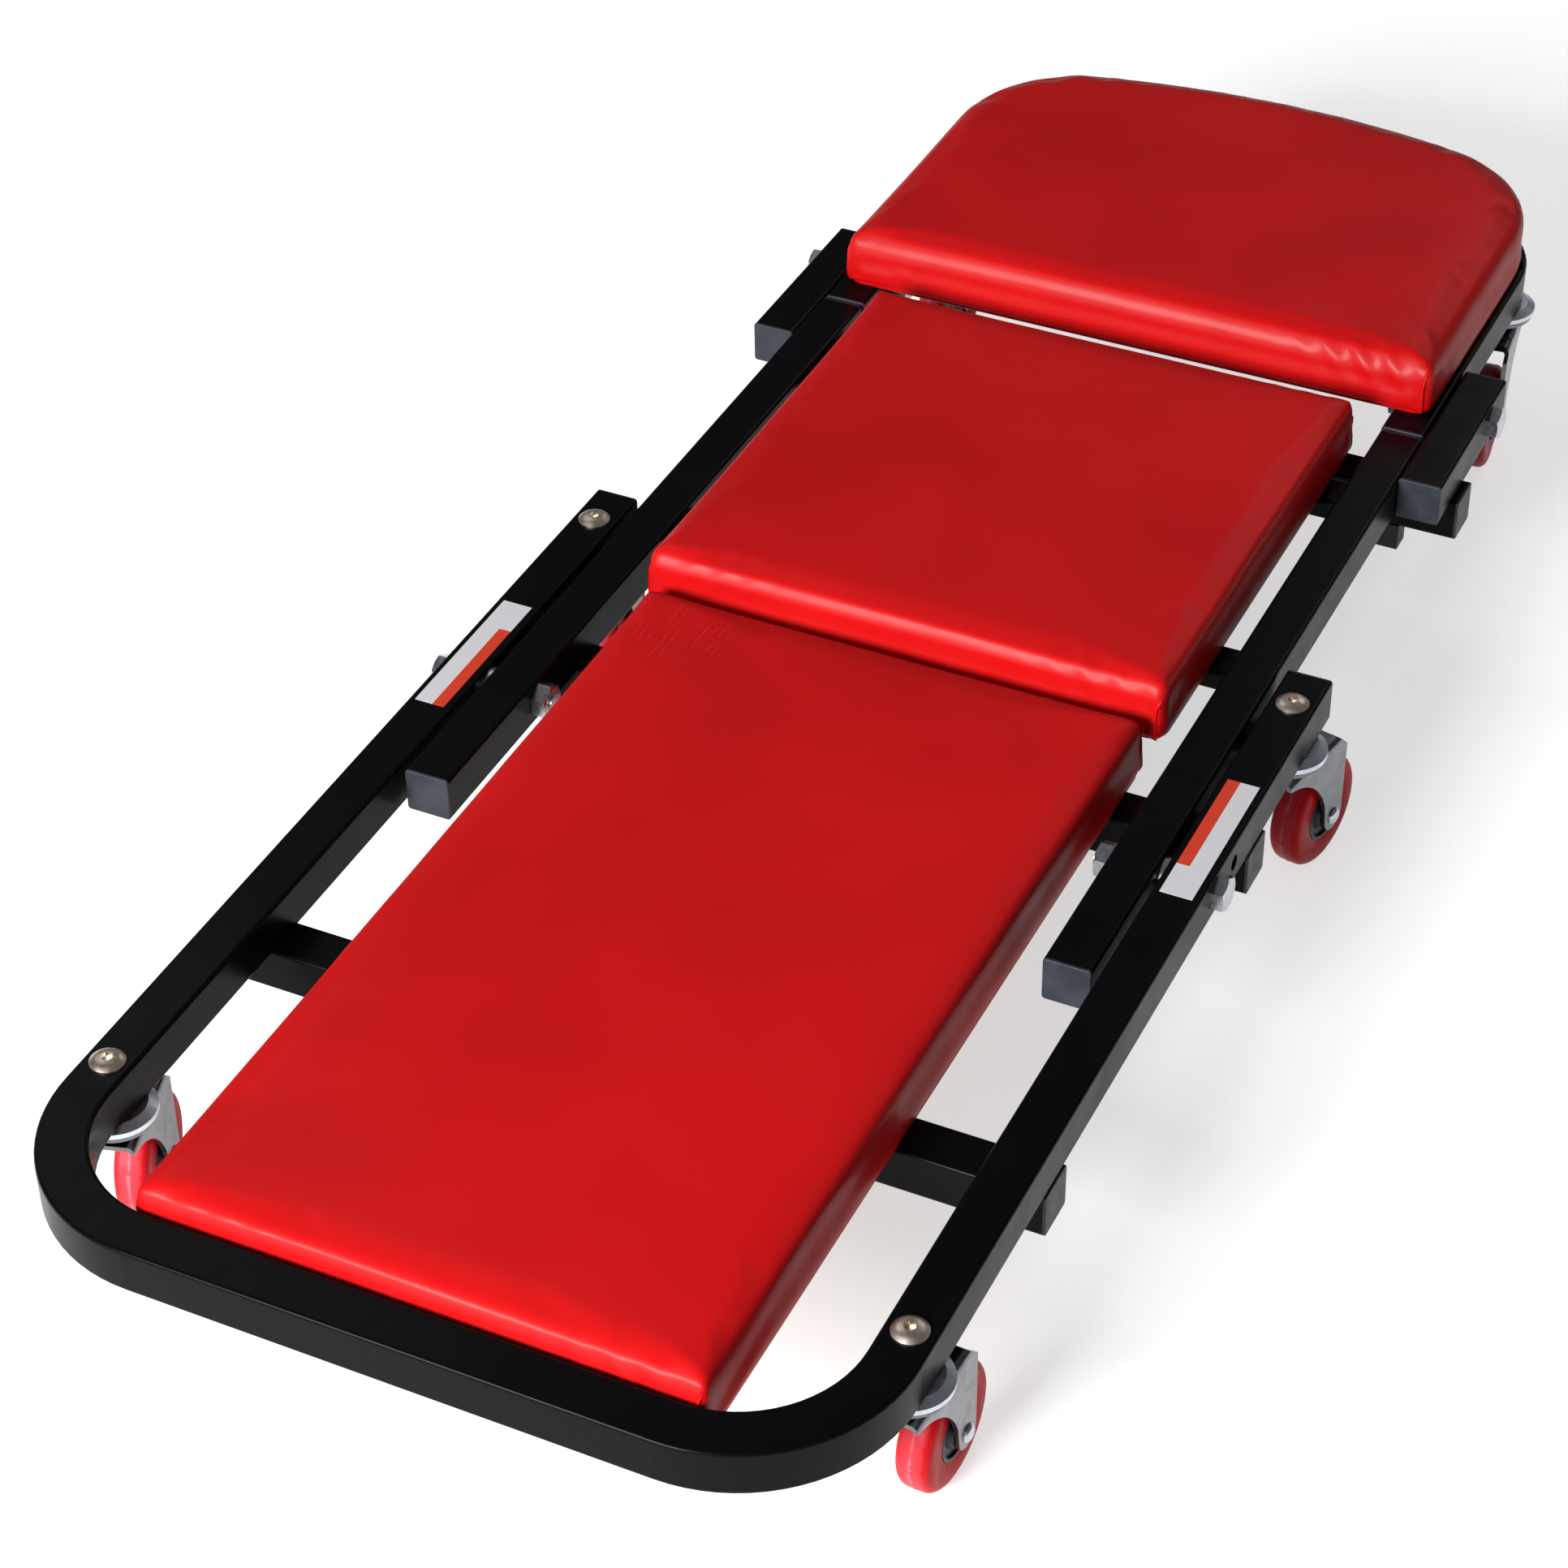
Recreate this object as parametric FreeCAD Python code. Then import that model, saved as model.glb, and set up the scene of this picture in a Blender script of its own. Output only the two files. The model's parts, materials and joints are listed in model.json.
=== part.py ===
"""Folding creeper seat: a three-section tube frame on six swivel casters, with three upholstered pads.

Units are millimetres. X is across, Y runs from the foot end to the head end, Z is up.
The origin is on the floor under the middle of the flat creeper.
The foot section stays on the floor, the middle section folds up about the main pivot and the
head section folds down about the head pivot, which makes a seat in the shape of a Z.
"""
import FreeCAD, Part
import math
import os

from FreeCAD import Vector

# Steel tube
tube = 25.0                   # side of the square tube
tube_wall = 1.5
tube_corner = 2.0             # rounding of the tube's long edges
rail_height = 12.0            # flat tube under the middle and head boards

# Frame in plan
base_width = 431.0
foot_bend_radius = 85.0       # outer radius of the foot section's two bends
pivot_gap = 3.5               # between foot section and middle section, side by side
pivot_station = 444.0         # foot end to main pivot
base_end_reach = 170.5        # main pivot to the open ends of the foot section
foot_cross_station = 223.5    # foot end to the first cross tube
stub_length = 95.5            # part of the middle section that passes the main pivot
fold_length = 460.0           # main pivot to head pivot
stop_offset = 45.5            # from each pivot to the cross tube that stops its fold
ear_near_reach = 96.5         # hinge tubes, measured each way from the head pivot
ear_far_reach = 26.5
head_side_gap = 0.5           # between hinge tube and head frame
head_stub = 50.0              # part of the head frame that passes the head pivot
swing_gap = 0.5               # left between the stub and the middle tube when it swings
head_frame_reach = 214.5      # head pivot to the far face of the head frame
head_bend_radius = 75.0
near_rail_reach = 168.5       # main pivot to the first rail of the middle section
far_rail_reach = 91.5         # head pivot to the second rail
head_rail_reach = 31.5        # head pivot to the head rail

# Stop blocks under the joint cross tube, which the head frame leans on in the seat position
stop_block_width = 18.5
stop_block_depth = 13.5
stop_block_height = 15.7

# End caps
cap_flange = 1.5
cap_plug = 12.0
cap_rounding = 0.7
cap_fit = 0.15

# Pads
board = 9.0                   # plywood under each pad
board_wrap = 4.0              # cover and foam around the board's edge
pad_thickness = 35.0
middle_pad_thickness = 34.0
pad_swing_gap = 7.0           # between long pad and middle pad
middle_pad_near_reach = 98.5  # main pivot to the middle pad
middle_pad_far_reach = 64.5   # head pivot to the middle pad
head_pad_near_reach = 31.5    # head pivot to the head pad
head_pad_overhang = 23.0      # past the far face of the head frame
long_pad_foot_gap = 1.5
long_pad_side_gap = 18.5
middle_pad_side_gap = 12.0
head_pad_side_inset = 2.5
pad_corner = 12.0
pad_top_roll = 12.0           # rounding along the top edges
pad_bottom_roll = 3.0
pad_pull = 2.5                # how far the sides draw in between the corners
pad_crown = 3.0
pad_crown_span = 55.0
pad_least_corner = 1.5
head_far_corner = 90.0        # radius of the head pad's two far corners
head_far_radius = 490.0       # radius of its far edge

# Fasteners
fit_gap = 0.08                # radial clearance of running fits and of bolts in their holes
pivot_bolt = 10.0
pivot_head_flats = 17.0
pivot_head_height = 6.4
pivot_nut_height = 8.5
pivot_spacer_outer = 20.0
side_play = 0.3               # axial play beside each moving tube
bolt_tail = 1.2               # thread that shows past a nut
caster_bolt = 10.0
button_head = 17.5
button_height = 3.4
button_rim_share = 0.25       # of the head's height
button_shoulder_share = 0.72  # of the head's radius, where the dome passes the height share below
button_shoulder_rise_share = 0.8
button_flat_share = 0.35      # of the head's radius
button_socket_flats = 5.0
button_socket_depth = 2.2
caster_nut_flats = 16.0
caster_nut_height = 6.0
access_hole = 21.0            # in the top wall of the head frame, over each caster bolt
board_bolt = 6.0
board_bolt_head = 12.0
board_bolt_head_height = 3.5
board_bolt_grip = 7.0         # length inside the board
board_bolt_inset = 40.0       # in from the sides of the long and middle pads
head_side_bolt_reach = 105.0  # from the head pivot, along the head frame's sides
head_far_bolt_x = 60.0        # each side of the middle, in the head frame's far bar
hex_sides = 6
hex_chamfer = 0.8
lock_hole = 8.5
lock_hole_reach = 24.0        # main pivot to the lock pin hole

# Casters
caster_height = 95.0          # floor to the underside of the tubes
wheel_diameter = 63.5
wheel_width = 17.5
tread_rounding = 5.0
hub_diameter = 32.0
hub_recess = 1.6
hub_recess_inner = 10.0
hub_recess_outer = 14.2
hub_boss_diameter = 17.0
hub_boss_length = 20.5
caster_trail = 32.0
axle_pin = 6.0
axle_sleeve = 12.0
rivet_head = 9.5              # domed ends of the axle
rivet_height = 2.4
fork_gap = 21.5
fork_sheet = 2.5
fork_bend = 4.0               # outer bend radius between crown and legs
fork_back = 18.0              # kingpin to the bridge's edge on the side away from the wheel
fork_skirt = 4.0              # height of that edge
fork_shoulder = 7.5           # bevel of the leg's upper corner above the wheel
fork_sweep_reach = 22.0       # kingpin to the end of the leg's hollow edge
fork_sweep_drop = 40.0        # height of the same place below the bridge
fork_sweep_sag = 7.0          # depth of the hollow below its chord
fork_boss = 8.5               # radius of the leg's end round the axle
race_diameter = 26.5
race_ball = 5.0
race_ball_count = 12
race_play = 0.3
crown_diameter = 38.0
crown_rim = 2.0
cup_plate = 3.4
cup_diameter = 41.0
cup_sheet = 1.5
cup_top_diameter = 32.0
cup_skirt = 5.5
crown_top_drop = 7.0          # tube underside to the top of the fork's crown
fork_top_drop = 12.0          # tube underside to the top of the fork's bridge
foot_caster_margin = 16.5     # past the end of the foot bend
rear_caster_margin = 28.0     # from the open ends of the foot section
head_caster_reach = 151.5     # from the head pivot
swing_foot_left = 17.0        # degrees from straight behind, as the wheels happen to stand
swing_foot_right = -3.0
swing_rear = 11.0
swing_head = 6.0

# Coloured strips on the foot section
strip_width = 17.0
strip_length = 96.0
strip_thickness = 0.25
strip_right_station = 418.0
strip_left_station = 402.5

# General values
overrun = 1.0                 # how far a cutting tool passes the faces it cuts
half = 0.5
full_turn = 360.0
parallel_limit = 0.99         # least cosine between two directions that count as the same
least_bend = 0.0001           # radians; three points that turn less than this are in line
roll_steps = 4
crown_shares = (0.35, 0.7, 1.0)

# Places that follow from the sizes above
head_pivot_station = pivot_station + fold_length
head_far_station = head_pivot_station + head_frame_reach
overall_length = head_far_station + head_pad_overhang
y_shift = -overall_length * half
pivot_y = pivot_station + y_shift
head_pivot_y = head_pivot_station + y_shift
foot_y = y_shift
base_end_y = pivot_y + base_end_reach
frame_z = caster_height
frame_top = frame_z + tube
pivot_z = frame_z + tube * half
cross_z = frame_z - tube
side_x = base_width * half - tube * half
inner_x = base_width * half - tube
middle_outer_x = inner_x - pivot_gap
middle_inner_x = middle_outer_x - tube
head_outer_x = middle_outer_x - head_side_gap
head_inner_x = head_outer_x - tube
ear_outer_x = middle_outer_x + tube
middle_near_y = pivot_y - stub_length
middle_far_y = head_pivot_y - math.hypot(head_stub, tube * half) - swing_gap
head_near_y = head_pivot_y - head_stub
head_far_y = head_pivot_y + head_frame_reach
foot_cross_y = foot_y + foot_cross_station
pivot_cross_y = pivot_y + stop_offset
joint_cross_y = head_pivot_y - stop_offset - tube
near_rail_y = pivot_y + near_rail_reach
far_rail_y = head_pivot_y - far_rail_reach - tube
head_rail_y = head_pivot_y + head_rail_reach
head_rail_z = frame_top - rail_height
middle_board_z = frame_z + rail_height

X = Vector(1, 0, 0)
Y = Vector(0, 1, 0)
Z = Vector(0, 0, 1)
ORIGIN = Vector(0, 0, 0)


def save(node, shapes):
    """Write one sub-part, made of one or more solids."""
    solids = [solid for shape in shapes for solid in shape.Solids]
    shape = solids[0] if len(solids) == 1 else Part.makeCompound(solids)
    shape.exportStep("parts/" + node + ".step")


def mirrored(shape):
    """The same piece on the other side of the creeper."""
    return shape.mirror(ORIGIN, X)


def box(low, high):
    size = high - low
    return Part.makeBox(size.x, size.y, size.z, low)


def rod(start, direction, radius, length):
    return Part.makeCylinder(radius, length, start, direction)


def tube_ring(start, direction, outer, inner, length):
    bore_start = start - direction * overrun
    bore = rod(bore_start, direction, inner, length + overrun + overrun)
    return rod(start, direction, outer, length).cut(bore)


def edges_along(shape, direction):
    """Straight edges that run in one direction."""
    straight = [edge for edge in shape.Edges if isinstance(edge.Curve, Part.Line)]
    return [edge for edge in straight
            if abs(edge.tangentAt(edge.FirstParameter).dot(direction)) > parallel_limit]


def straight_tube(low, high, direction):
    """Hollow tube with rounded long edges, between two opposite corners."""
    outer = box(low, high)
    outer = outer.makeFillet(tube_corner, edges_along(outer, direction))
    wall = Vector(tube_wall, tube_wall, tube_wall)
    along = direction * (tube_wall + overrun)
    return outer.cut(box(low + wall - along, high - wall + along))


def u_face(outer_x, width, closed_y, open_y, radius, z):
    """Flat U: two legs joined by a bar with round bends. The legs run from the bar to open_y."""
    way = math.copysign(1, open_y - closed_y)
    inner_radius = radius - width
    bend_y = closed_y + way * radius
    centre_x = outer_x - radius
    diagonal = math.sqrt(half)

    def point(x, y):
        return Vector(x, y, z)

    def bend(side, r):
        start = point(side * (centre_x + r), bend_y)
        middle = point(side * (centre_x + r * diagonal), bend_y - way * r * diagonal)
        end = point(side * centre_x, bend_y - way * r)
        return start, middle, end

    outer_left = bend(-1, radius)
    outer_right = bend(1, radius)
    inner_left = bend(-1, inner_radius)
    inner_right = bend(1, inner_radius)
    legs = [point(-outer_x, open_y), point(outer_x, open_y),
            point(outer_x - width, open_y), point(width - outer_x, open_y)]
    edges = [Part.LineSegment(legs[0], outer_left[0]), Part.Arc(*outer_left),
             Part.LineSegment(outer_left[2], outer_right[2]), Part.Arc(*reversed(outer_right)),
             Part.LineSegment(outer_right[0], legs[1]), Part.LineSegment(legs[1], legs[2]),
             Part.LineSegment(legs[2], inner_right[0]), Part.Arc(*inner_right),
             Part.LineSegment(inner_right[2], inner_left[2]), Part.Arc(*reversed(inner_left)),
             Part.LineSegment(inner_left[0], legs[3]), Part.LineSegment(legs[3], legs[0])]
    return Part.Face(Part.Wire([edge.toShape() for edge in edges]))


def u_tube(outer_x, closed_y, open_y, radius, z):
    """Bent square tube with open ends."""
    way = math.copysign(1, open_y - closed_y)
    outer = u_face(outer_x, tube, closed_y, open_y, radius, z).extrude(Z * tube)
    rims = []
    for edge in outer.Edges:
        ends = [vertex.Point for vertex in edge.Vertexes]
        level = abs(ends[0].z - ends[1].z) < tube_wall * half
        at_opening = all(abs(end.y - open_y) < tube_wall * half for end in ends)
        if level and not at_opening:
            rims.append(edge)
    outer = outer.makeFillet(tube_corner, rims)
    hollow_width = tube - tube_wall - tube_wall
    hollow = u_face(outer_x - tube_wall, hollow_width, closed_y + way * tube_wall,
                    open_y + way * overrun, radius - tube_wall, z + tube_wall).extrude(Z * hollow_width)
    return outer.cut(hollow)


def end_cap(centre, direction, across, height):
    """Plastic plug for a tube's end. The direction points out of the tube."""
    side = X if abs(direction.y) > half else Y
    onward = Vector(abs(direction.x), abs(direction.y), 0)
    size = side * (across * half) + Z * (height * half)
    flange = box(centre - size, centre + size + onward * cap_flange)
    if direction.x + direction.y < 0:
        flange.translate(direction * cap_flange)
    flange = flange.makeFillet(tube_corner, edges_along(flange, direction))
    face_at = centre + direction * cap_flange
    rim = []
    for edge in flange.Edges:
        offsets = [abs((vertex.Point - face_at).dot(direction)) for vertex in edge.Vertexes]
        if max(offsets) < cap_flange * half:
            rim.append(edge)
    flange = flange.makeFillet(cap_rounding, rim)
    inset = tube_wall + cap_fit
    plug_size = side * (across * half - inset) + Z * (height * half - inset)
    plug = box(centre - plug_size, centre + plug_size + onward * cap_plug)
    if direction.x + direction.y > 0:
        plug.translate(direction * -cap_plug)
    return flange.fuse(plug)


def hexagon(start, direction, flats, height):
    """Hexagonal prism with a chamfered far end."""
    corner_radius = flats * half / math.cos(math.pi / hex_sides)
    side = Z if abs(direction.z) < half else X
    wire = Part.makePolygon([
        start + FreeCAD.Rotation(direction, full_turn * step / hex_sides).multVec(side * corner_radius)
        for step in range(hex_sides + 1)])
    prism = Part.Face(wire).extrude(direction * height)
    slope_start = height - hex_chamfer
    body = rod(start, direction, corner_radius + overrun, slope_start)
    tip = Part.makeCone(corner_radius, corner_radius - hex_chamfer - hex_chamfer, hex_chamfer,
                        start + direction * slope_start, direction)
    return prism.common(body.fuse(tip))


def hex_bolt(seat, direction, diameter, flats, head_height, length):
    """Bolt whose head stands on the seat, against the direction in which its shank runs."""
    head = hexagon(seat, direction * -1, flats, head_height)
    return head.fuse(rod(seat, direction, diameter * half, length))


def nut(seat, direction, diameter, flats, height):
    """Nut that stands on its seat along the direction."""
    body = hexagon(seat, direction, flats, height)
    bore = rod(seat - direction * overrun, direction, diameter * half + fit_gap, height + overrun + overrun)
    return body.cut(bore)


def domed_head(diameter, height):
    """Low dome about Z with a flat top, standing on the origin."""
    radius = diameter * half
    top = Vector(0, 0, height)
    edge = Vector(radius, 0, 0)
    rim = Vector(radius, 0, height * button_rim_share)
    shoulder = Vector(radius * button_shoulder_share, 0, height * button_shoulder_rise_share)
    flat = Vector(radius * button_flat_share, 0, height)
    profile = Part.Wire([
        Part.LineSegment(ORIGIN, edge).toShape(), Part.LineSegment(edge, rim).toShape(),
        Part.Arc(rim, shoulder, flat).toShape(), Part.LineSegment(flat, top).toShape(),
        Part.LineSegment(top, ORIGIN).toShape()])
    return Part.Face(profile).revolve(ORIGIN, Z, full_turn)


def button_bolt(seat, diameter, length):
    """Domed bolt with a hexagon socket, head up, shank down."""
    head = domed_head(button_head, button_height)
    head.translate(seat)
    socket_floor = seat + Z * (button_height - button_socket_depth)
    socket = hexagon(socket_floor, Z, button_socket_flats, button_socket_depth + hex_chamfer + overrun)
    return head.cut(socket).fuse(rod(seat, Z * -1, diameter * half, length))


def drill(shape, start, direction, diameter, length):
    """Hole with the bolt clearance all round."""
    start = start - direction * overrun
    return shape.cut(rod(start, direction, diameter * half + fit_gap, length + overrun + overrun))


def turned(points):
    """Solid of revolution about Z from radius and height pairs."""
    corners = [Vector(radius, 0, height) for radius, height in points]
    wire = Part.makePolygon(corners + [corners[0]])
    return Part.Face(wire).revolve(ORIGIN, Z, full_turn)


# Foot section, which stays on the floor

def foot_caster_places():
    """Kingpin of each caster under the foot section, with the heading of its wheel."""
    front_y = foot_y + foot_bend_radius + foot_caster_margin
    rear_y = base_end_y - rear_caster_margin
    return {"foot_left": (-side_x, front_y, swing_foot_left),
            "foot_right": (side_x, front_y, swing_foot_right),
            "rear_left": (-side_x, rear_y, swing_rear),
            "rear_right": (side_x, rear_y, -swing_rear)}


def head_caster_places():
    """The two head casters stand under the centre line of the bent head tube."""
    caster_y = head_pivot_y + head_caster_reach
    bend_y = head_far_y - head_bend_radius
    into_bend = max(caster_y - bend_y, 0)
    line_radius = head_bend_radius - tube * half
    caster_x = head_outer_x - head_bend_radius + math.sqrt(line_radius ** 2 - into_bend ** 2)
    turned_back = math.degrees(math.pi)
    return {"head_left": (-caster_x, caster_y, turned_back - swing_head),
            "head_right": (caster_x, caster_y, turned_back + swing_head)}


def make_base_frame():
    frame = u_tube(base_width * half, foot_y, base_end_y - cap_flange, foot_bend_radius, frame_z)
    for x, y, heading in foot_caster_places().values():
        frame = drill(frame, Vector(x, y, frame_z), Z, caster_bolt, tube)
    for side in (-1, 1):
        inside = Vector(side * inner_x, pivot_y, pivot_z)
        frame = drill(frame, inside, X * side, pivot_bolt, tube)
    return frame.cut(lock_bore(inner_x))


def lock_bore(near_x):
    """Hole for the pin that locks the main fold, through a tube on the right side."""
    start = Vector(near_x - overrun, pivot_y + lock_hole_reach, pivot_z)
    return rod(start, X, lock_hole * half, tube + overrun + overrun)


def cross_tube(near_y, top_z, bolt_xs):
    """Square tube across the underside of a frame, with holes for the board's bolts."""
    reach = base_width * half - cap_flange * half
    piece = straight_tube(Vector(-reach, near_y, top_z - tube), Vector(reach, near_y + tube, top_z), X)
    for x in bolt_xs:
        piece = drill(piece, Vector(x, near_y + tube * half, top_z - tube), Z, board_bolt, tube)
    return piece


def cross_tube_caps(near_y, top_z):
    reach = base_width * half - cap_flange * half
    centre_y = near_y + tube * half
    centre_z = top_z - tube * half
    return [end_cap(Vector(side * reach, centre_y, centre_z), X * side, tube, tube) for side in (-1, 1)]


def base_caps():
    caps = cross_tube_caps(foot_cross_y, frame_z) + cross_tube_caps(pivot_cross_y, frame_z)
    for side in (-1, 1):
        end = Vector(side * side_x, base_end_y - cap_flange, pivot_z)
        caps.append(end_cap(end, Y, tube, tube))
    return caps


def side_strip(side, station):
    """Thin coloured strip, stuck on top of a side tube."""
    low_x = side_x - strip_width * half
    near = Vector(low_x, foot_y + station, frame_top)
    strip = box(near, near + Vector(strip_width, strip_length, strip_thickness))
    return strip if side > 0 else mirrored(strip)


# Pads and boards

def outline_edge(start, middle, end):
    """Arc through three points, or the straight line where they are in line."""
    if (middle - start).getAngle(end - middle) < least_bend:
        return Part.LineSegment(start, end).toShape()
    return Part.Arc(start, middle, end).toShape()


def pad_outline(half_x, near_y, far_y, corner, pull, z):
    """Rectangle with round corners whose four sides draw in between them."""
    corner = max(corner, pad_least_corner)
    diagonal = corner * (1 - math.sqrt(half))
    left, right = -half_x, half_x
    middle_y = (near_y + far_y) * half

    def point(x, y):
        return Vector(x, y, z)

    def turn(x, y):
        """Middle of the corner arc nearest to this corner of the rectangle."""
        return point(x - math.copysign(diagonal, x), y + math.copysign(diagonal, middle_y - y))

    arcs = [
        (point(left, near_y + corner), turn(left, near_y), point(left + corner, near_y)),
        (point(left + corner, near_y), point(0, near_y + pull), point(right - corner, near_y)),
        (point(right - corner, near_y), turn(right, near_y), point(right, near_y + corner)),
        (point(right, near_y + corner), point(right - pull, middle_y), point(right, far_y - corner)),
        (point(right, far_y - corner), turn(right, far_y), point(right - corner, far_y)),
        (point(right - corner, far_y), point(0, far_y - pull), point(left + corner, far_y)),
        (point(left + corner, far_y), turn(left, far_y), point(left, far_y - corner)),
        (point(left, far_y - corner), point(left + pull, middle_y), point(left, near_y + corner))]
    return Part.Wire([outline_edge(*arc) for arc in arcs])


def head_outline(half_x, near_y, far_y, inset, pull, z):
    """Head pad: tight near corners, wide far corners and a far edge that bows outwards."""
    corner = max(pad_corner - inset, pad_least_corner)
    diagonal = corner * (1 - math.sqrt(half))
    far_corner = head_far_corner - inset
    far_radius = head_far_radius - inset
    far_centre = far_y - far_radius
    corner_x = half_x - far_corner
    corner_y = far_centre + math.sqrt((far_radius - far_corner) ** 2 - corner_x ** 2)
    lean = math.atan2(corner_x, corner_y - far_centre)
    turn = (math.pi * half + lean) * half

    def point(x, y):
        return Vector(x, y, z)

    def on_corner(side, angle):
        x = corner_x + far_corner * math.sin(angle)
        return point(side * x, corner_y + far_corner * math.cos(angle))

    side_middle = (near_y + corner_y) * half
    arcs = [
        (point(-half_x, near_y + corner), point(diagonal - half_x, near_y + diagonal),
         point(corner - half_x, near_y)),
        (point(corner - half_x, near_y), point(0, near_y + pull), point(half_x - corner, near_y)),
        (point(half_x - corner, near_y), point(half_x - diagonal, near_y + diagonal),
         point(half_x, near_y + corner)),
        (point(half_x, near_y + corner), point(half_x - pull, side_middle), point(half_x, corner_y)),
        (point(half_x, corner_y), on_corner(1, turn), on_corner(1, lean)),
        (on_corner(1, lean), point(0, far_y), on_corner(-1, lean)),
        (on_corner(-1, lean), on_corner(-1, turn), point(-half_x, corner_y)),
        (point(-half_x, corner_y), point(pull - half_x, side_middle), point(-half_x, near_y + corner))]
    return Part.Wire([outline_edge(*arc) for arc in arcs])


def pad_levels(thickness):
    """Height above the pad's bottom and inset of each section, with its share of the drawn-in sides."""
    levels = []
    for step in range(roll_steps):
        angle = math.pi * half * step / roll_steps
        levels.append((pad_bottom_roll * (1 - math.cos(angle)), pad_bottom_roll * (1 - math.sin(angle)),
                       step / roll_steps))
    shoulder = thickness - pad_crown - pad_top_roll
    levels.append((pad_bottom_roll, 0, 1))
    for step in range(roll_steps + 1):
        angle = math.pi * half * step / roll_steps
        levels.append((shoulder + pad_top_roll * math.sin(angle), pad_top_roll * (1 - math.cos(angle)), 1))
    for share in crown_shares:
        rise = pad_crown * (1 - (1 - share) ** 2)
        levels.append((thickness - pad_crown + rise, pad_top_roll + pad_crown_span * share,
                       1 - share * half))
    return levels


def make_pad(outline, bottom_z, thickness, board_solid):
    """Cushion with a crown, rolled edges and drawn-in sides, open below for its board."""
    sections = [outline(inset, pad_pull * draw, bottom_z + height)
                for height, inset, draw in pad_levels(thickness)]
    return Part.makeLoft(sections, True, True).cut(board_solid)


def make_board(outline, bottom_z, bolts):
    """Plywood board inside the pad's outline, with blind holes for its bolts."""
    solid = Part.Face(outline(board_wrap, 0, bottom_z)).extrude(Z * board)
    for x, y in bolts:
        hole = rod(Vector(x, y, bottom_z - overrun), Z, board_bolt * half + fit_gap,
                   board_bolt_grip + overrun + fit_gap)
        solid = solid.cut(hole)
    return solid


def board_bolts(places, seat_z, grip_z):
    """Bolts from below: the head under the tube, the shank up into the board."""
    bolts = []
    for x, y in places:
        seat = Vector(x, y, seat_z)
        shank = rod(seat, Z, board_bolt * half, grip_z - seat_z + board_bolt_grip)
        head = Part.makeCone(board_bolt_head * half - hex_chamfer, board_bolt_head * half,
                             board_bolt_head_height, seat - Z * board_bolt_head_height, Z)
        bolts.append(head.fuse(shank))
    return bolts


long_pad_half = middle_inner_x - long_pad_side_gap
long_pad_near = foot_y + tube + long_pad_foot_gap
long_pad_far = pivot_y + middle_pad_near_reach - pad_swing_gap
middle_pad_half = middle_inner_x - middle_pad_side_gap
middle_pad_near = pivot_y + middle_pad_near_reach
middle_pad_far = head_pivot_y - middle_pad_far_reach
head_pad_half = head_outer_x - head_pad_side_inset
head_pad_near = head_pivot_y - head_pad_near_reach
head_pad_far = head_far_y + head_pad_overhang


def long_outline(inset, pull, z):
    return pad_outline(long_pad_half - inset, long_pad_near + inset, long_pad_far - inset,
                       pad_corner - inset, pull, z)


def middle_outline(inset, pull, z):
    return pad_outline(middle_pad_half - inset, middle_pad_near + inset, middle_pad_far - inset,
                       pad_corner - inset, pull, z)


def head_pad_outline(inset, pull, z):
    return head_outline(head_pad_half - inset, head_pad_near + inset, head_pad_far - inset, inset, pull, z)


def bolt_pairs(half_x, stations):
    return [(side * (half_x - board_bolt_inset), y) for y in stations for side in (-1, 1)]


long_bolts = bolt_pairs(long_pad_half, (foot_cross_y + tube * half, pivot_cross_y + tube * half))
middle_bolts = bolt_pairs(middle_pad_half, (near_rail_y + tube * half, far_rail_y + tube * half))
head_bolts = [(side * (head_outer_x - tube * half), head_pivot_y + head_side_bolt_reach)
              for side in (-1, 1)]
head_bolts += [(side * head_far_bolt_x, head_far_y - tube * half) for side in (-1, 1)]


# Middle section, which folds up

def middle_tube(side):
    near = Vector(middle_inner_x, middle_near_y + cap_flange, frame_z)
    far = Vector(middle_outer_x, middle_far_y - cap_flange, frame_top)
    piece = straight_tube(near, far, Y)
    piece = drill(piece, Vector(middle_inner_x, pivot_y, pivot_z), X, pivot_bolt, tube)
    return piece.cut(lock_bore(middle_inner_x)) if side > 0 else mirrored(piece)


def ear_tube(side):
    """Short hinge tube, welded beside the far end of a middle tube."""
    near = Vector(middle_outer_x, head_pivot_y - ear_near_reach + cap_flange, frame_z)
    far = Vector(ear_outer_x, head_pivot_y + ear_far_reach - cap_flange, frame_top)
    piece = straight_tube(near, far, Y)
    piece = drill(piece, Vector(middle_outer_x, head_pivot_y, pivot_z), X, pivot_bolt, tube)
    return piece if side > 0 else mirrored(piece)


def rail(half_x, near_y, low_z, bolts):
    """Flat tube between the side tubes, under a board."""
    high = Vector(half_x, near_y + tube, low_z + rail_height)
    piece = straight_tube(Vector(-half_x, near_y, low_z), high, X)
    for x, y in bolts:
        if near_y < y < near_y + tube:
            piece = drill(piece, Vector(x, y, low_z), Z, board_bolt, rail_height)
    return piece


def middle_caps():
    caps = cross_tube_caps(joint_cross_y, frame_z)
    for side in (-1, 1):
        centre_x = side * (middle_outer_x - tube * half)
        ear_x = side * (middle_outer_x + tube * half)
        caps.append(end_cap(Vector(centre_x, middle_near_y + cap_flange, pivot_z), Y * -1, tube, tube))
        caps.append(end_cap(Vector(centre_x, middle_far_y - cap_flange, pivot_z), Y, tube, tube))
        near_y = head_pivot_y - ear_near_reach + cap_flange
        far_y = head_pivot_y + ear_far_reach - cap_flange
        caps.append(end_cap(Vector(ear_x, near_y, pivot_z), Y * -1, tube, tube))
        caps.append(end_cap(Vector(ear_x, far_y, pivot_z), Y, tube, tube))
    return caps


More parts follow.
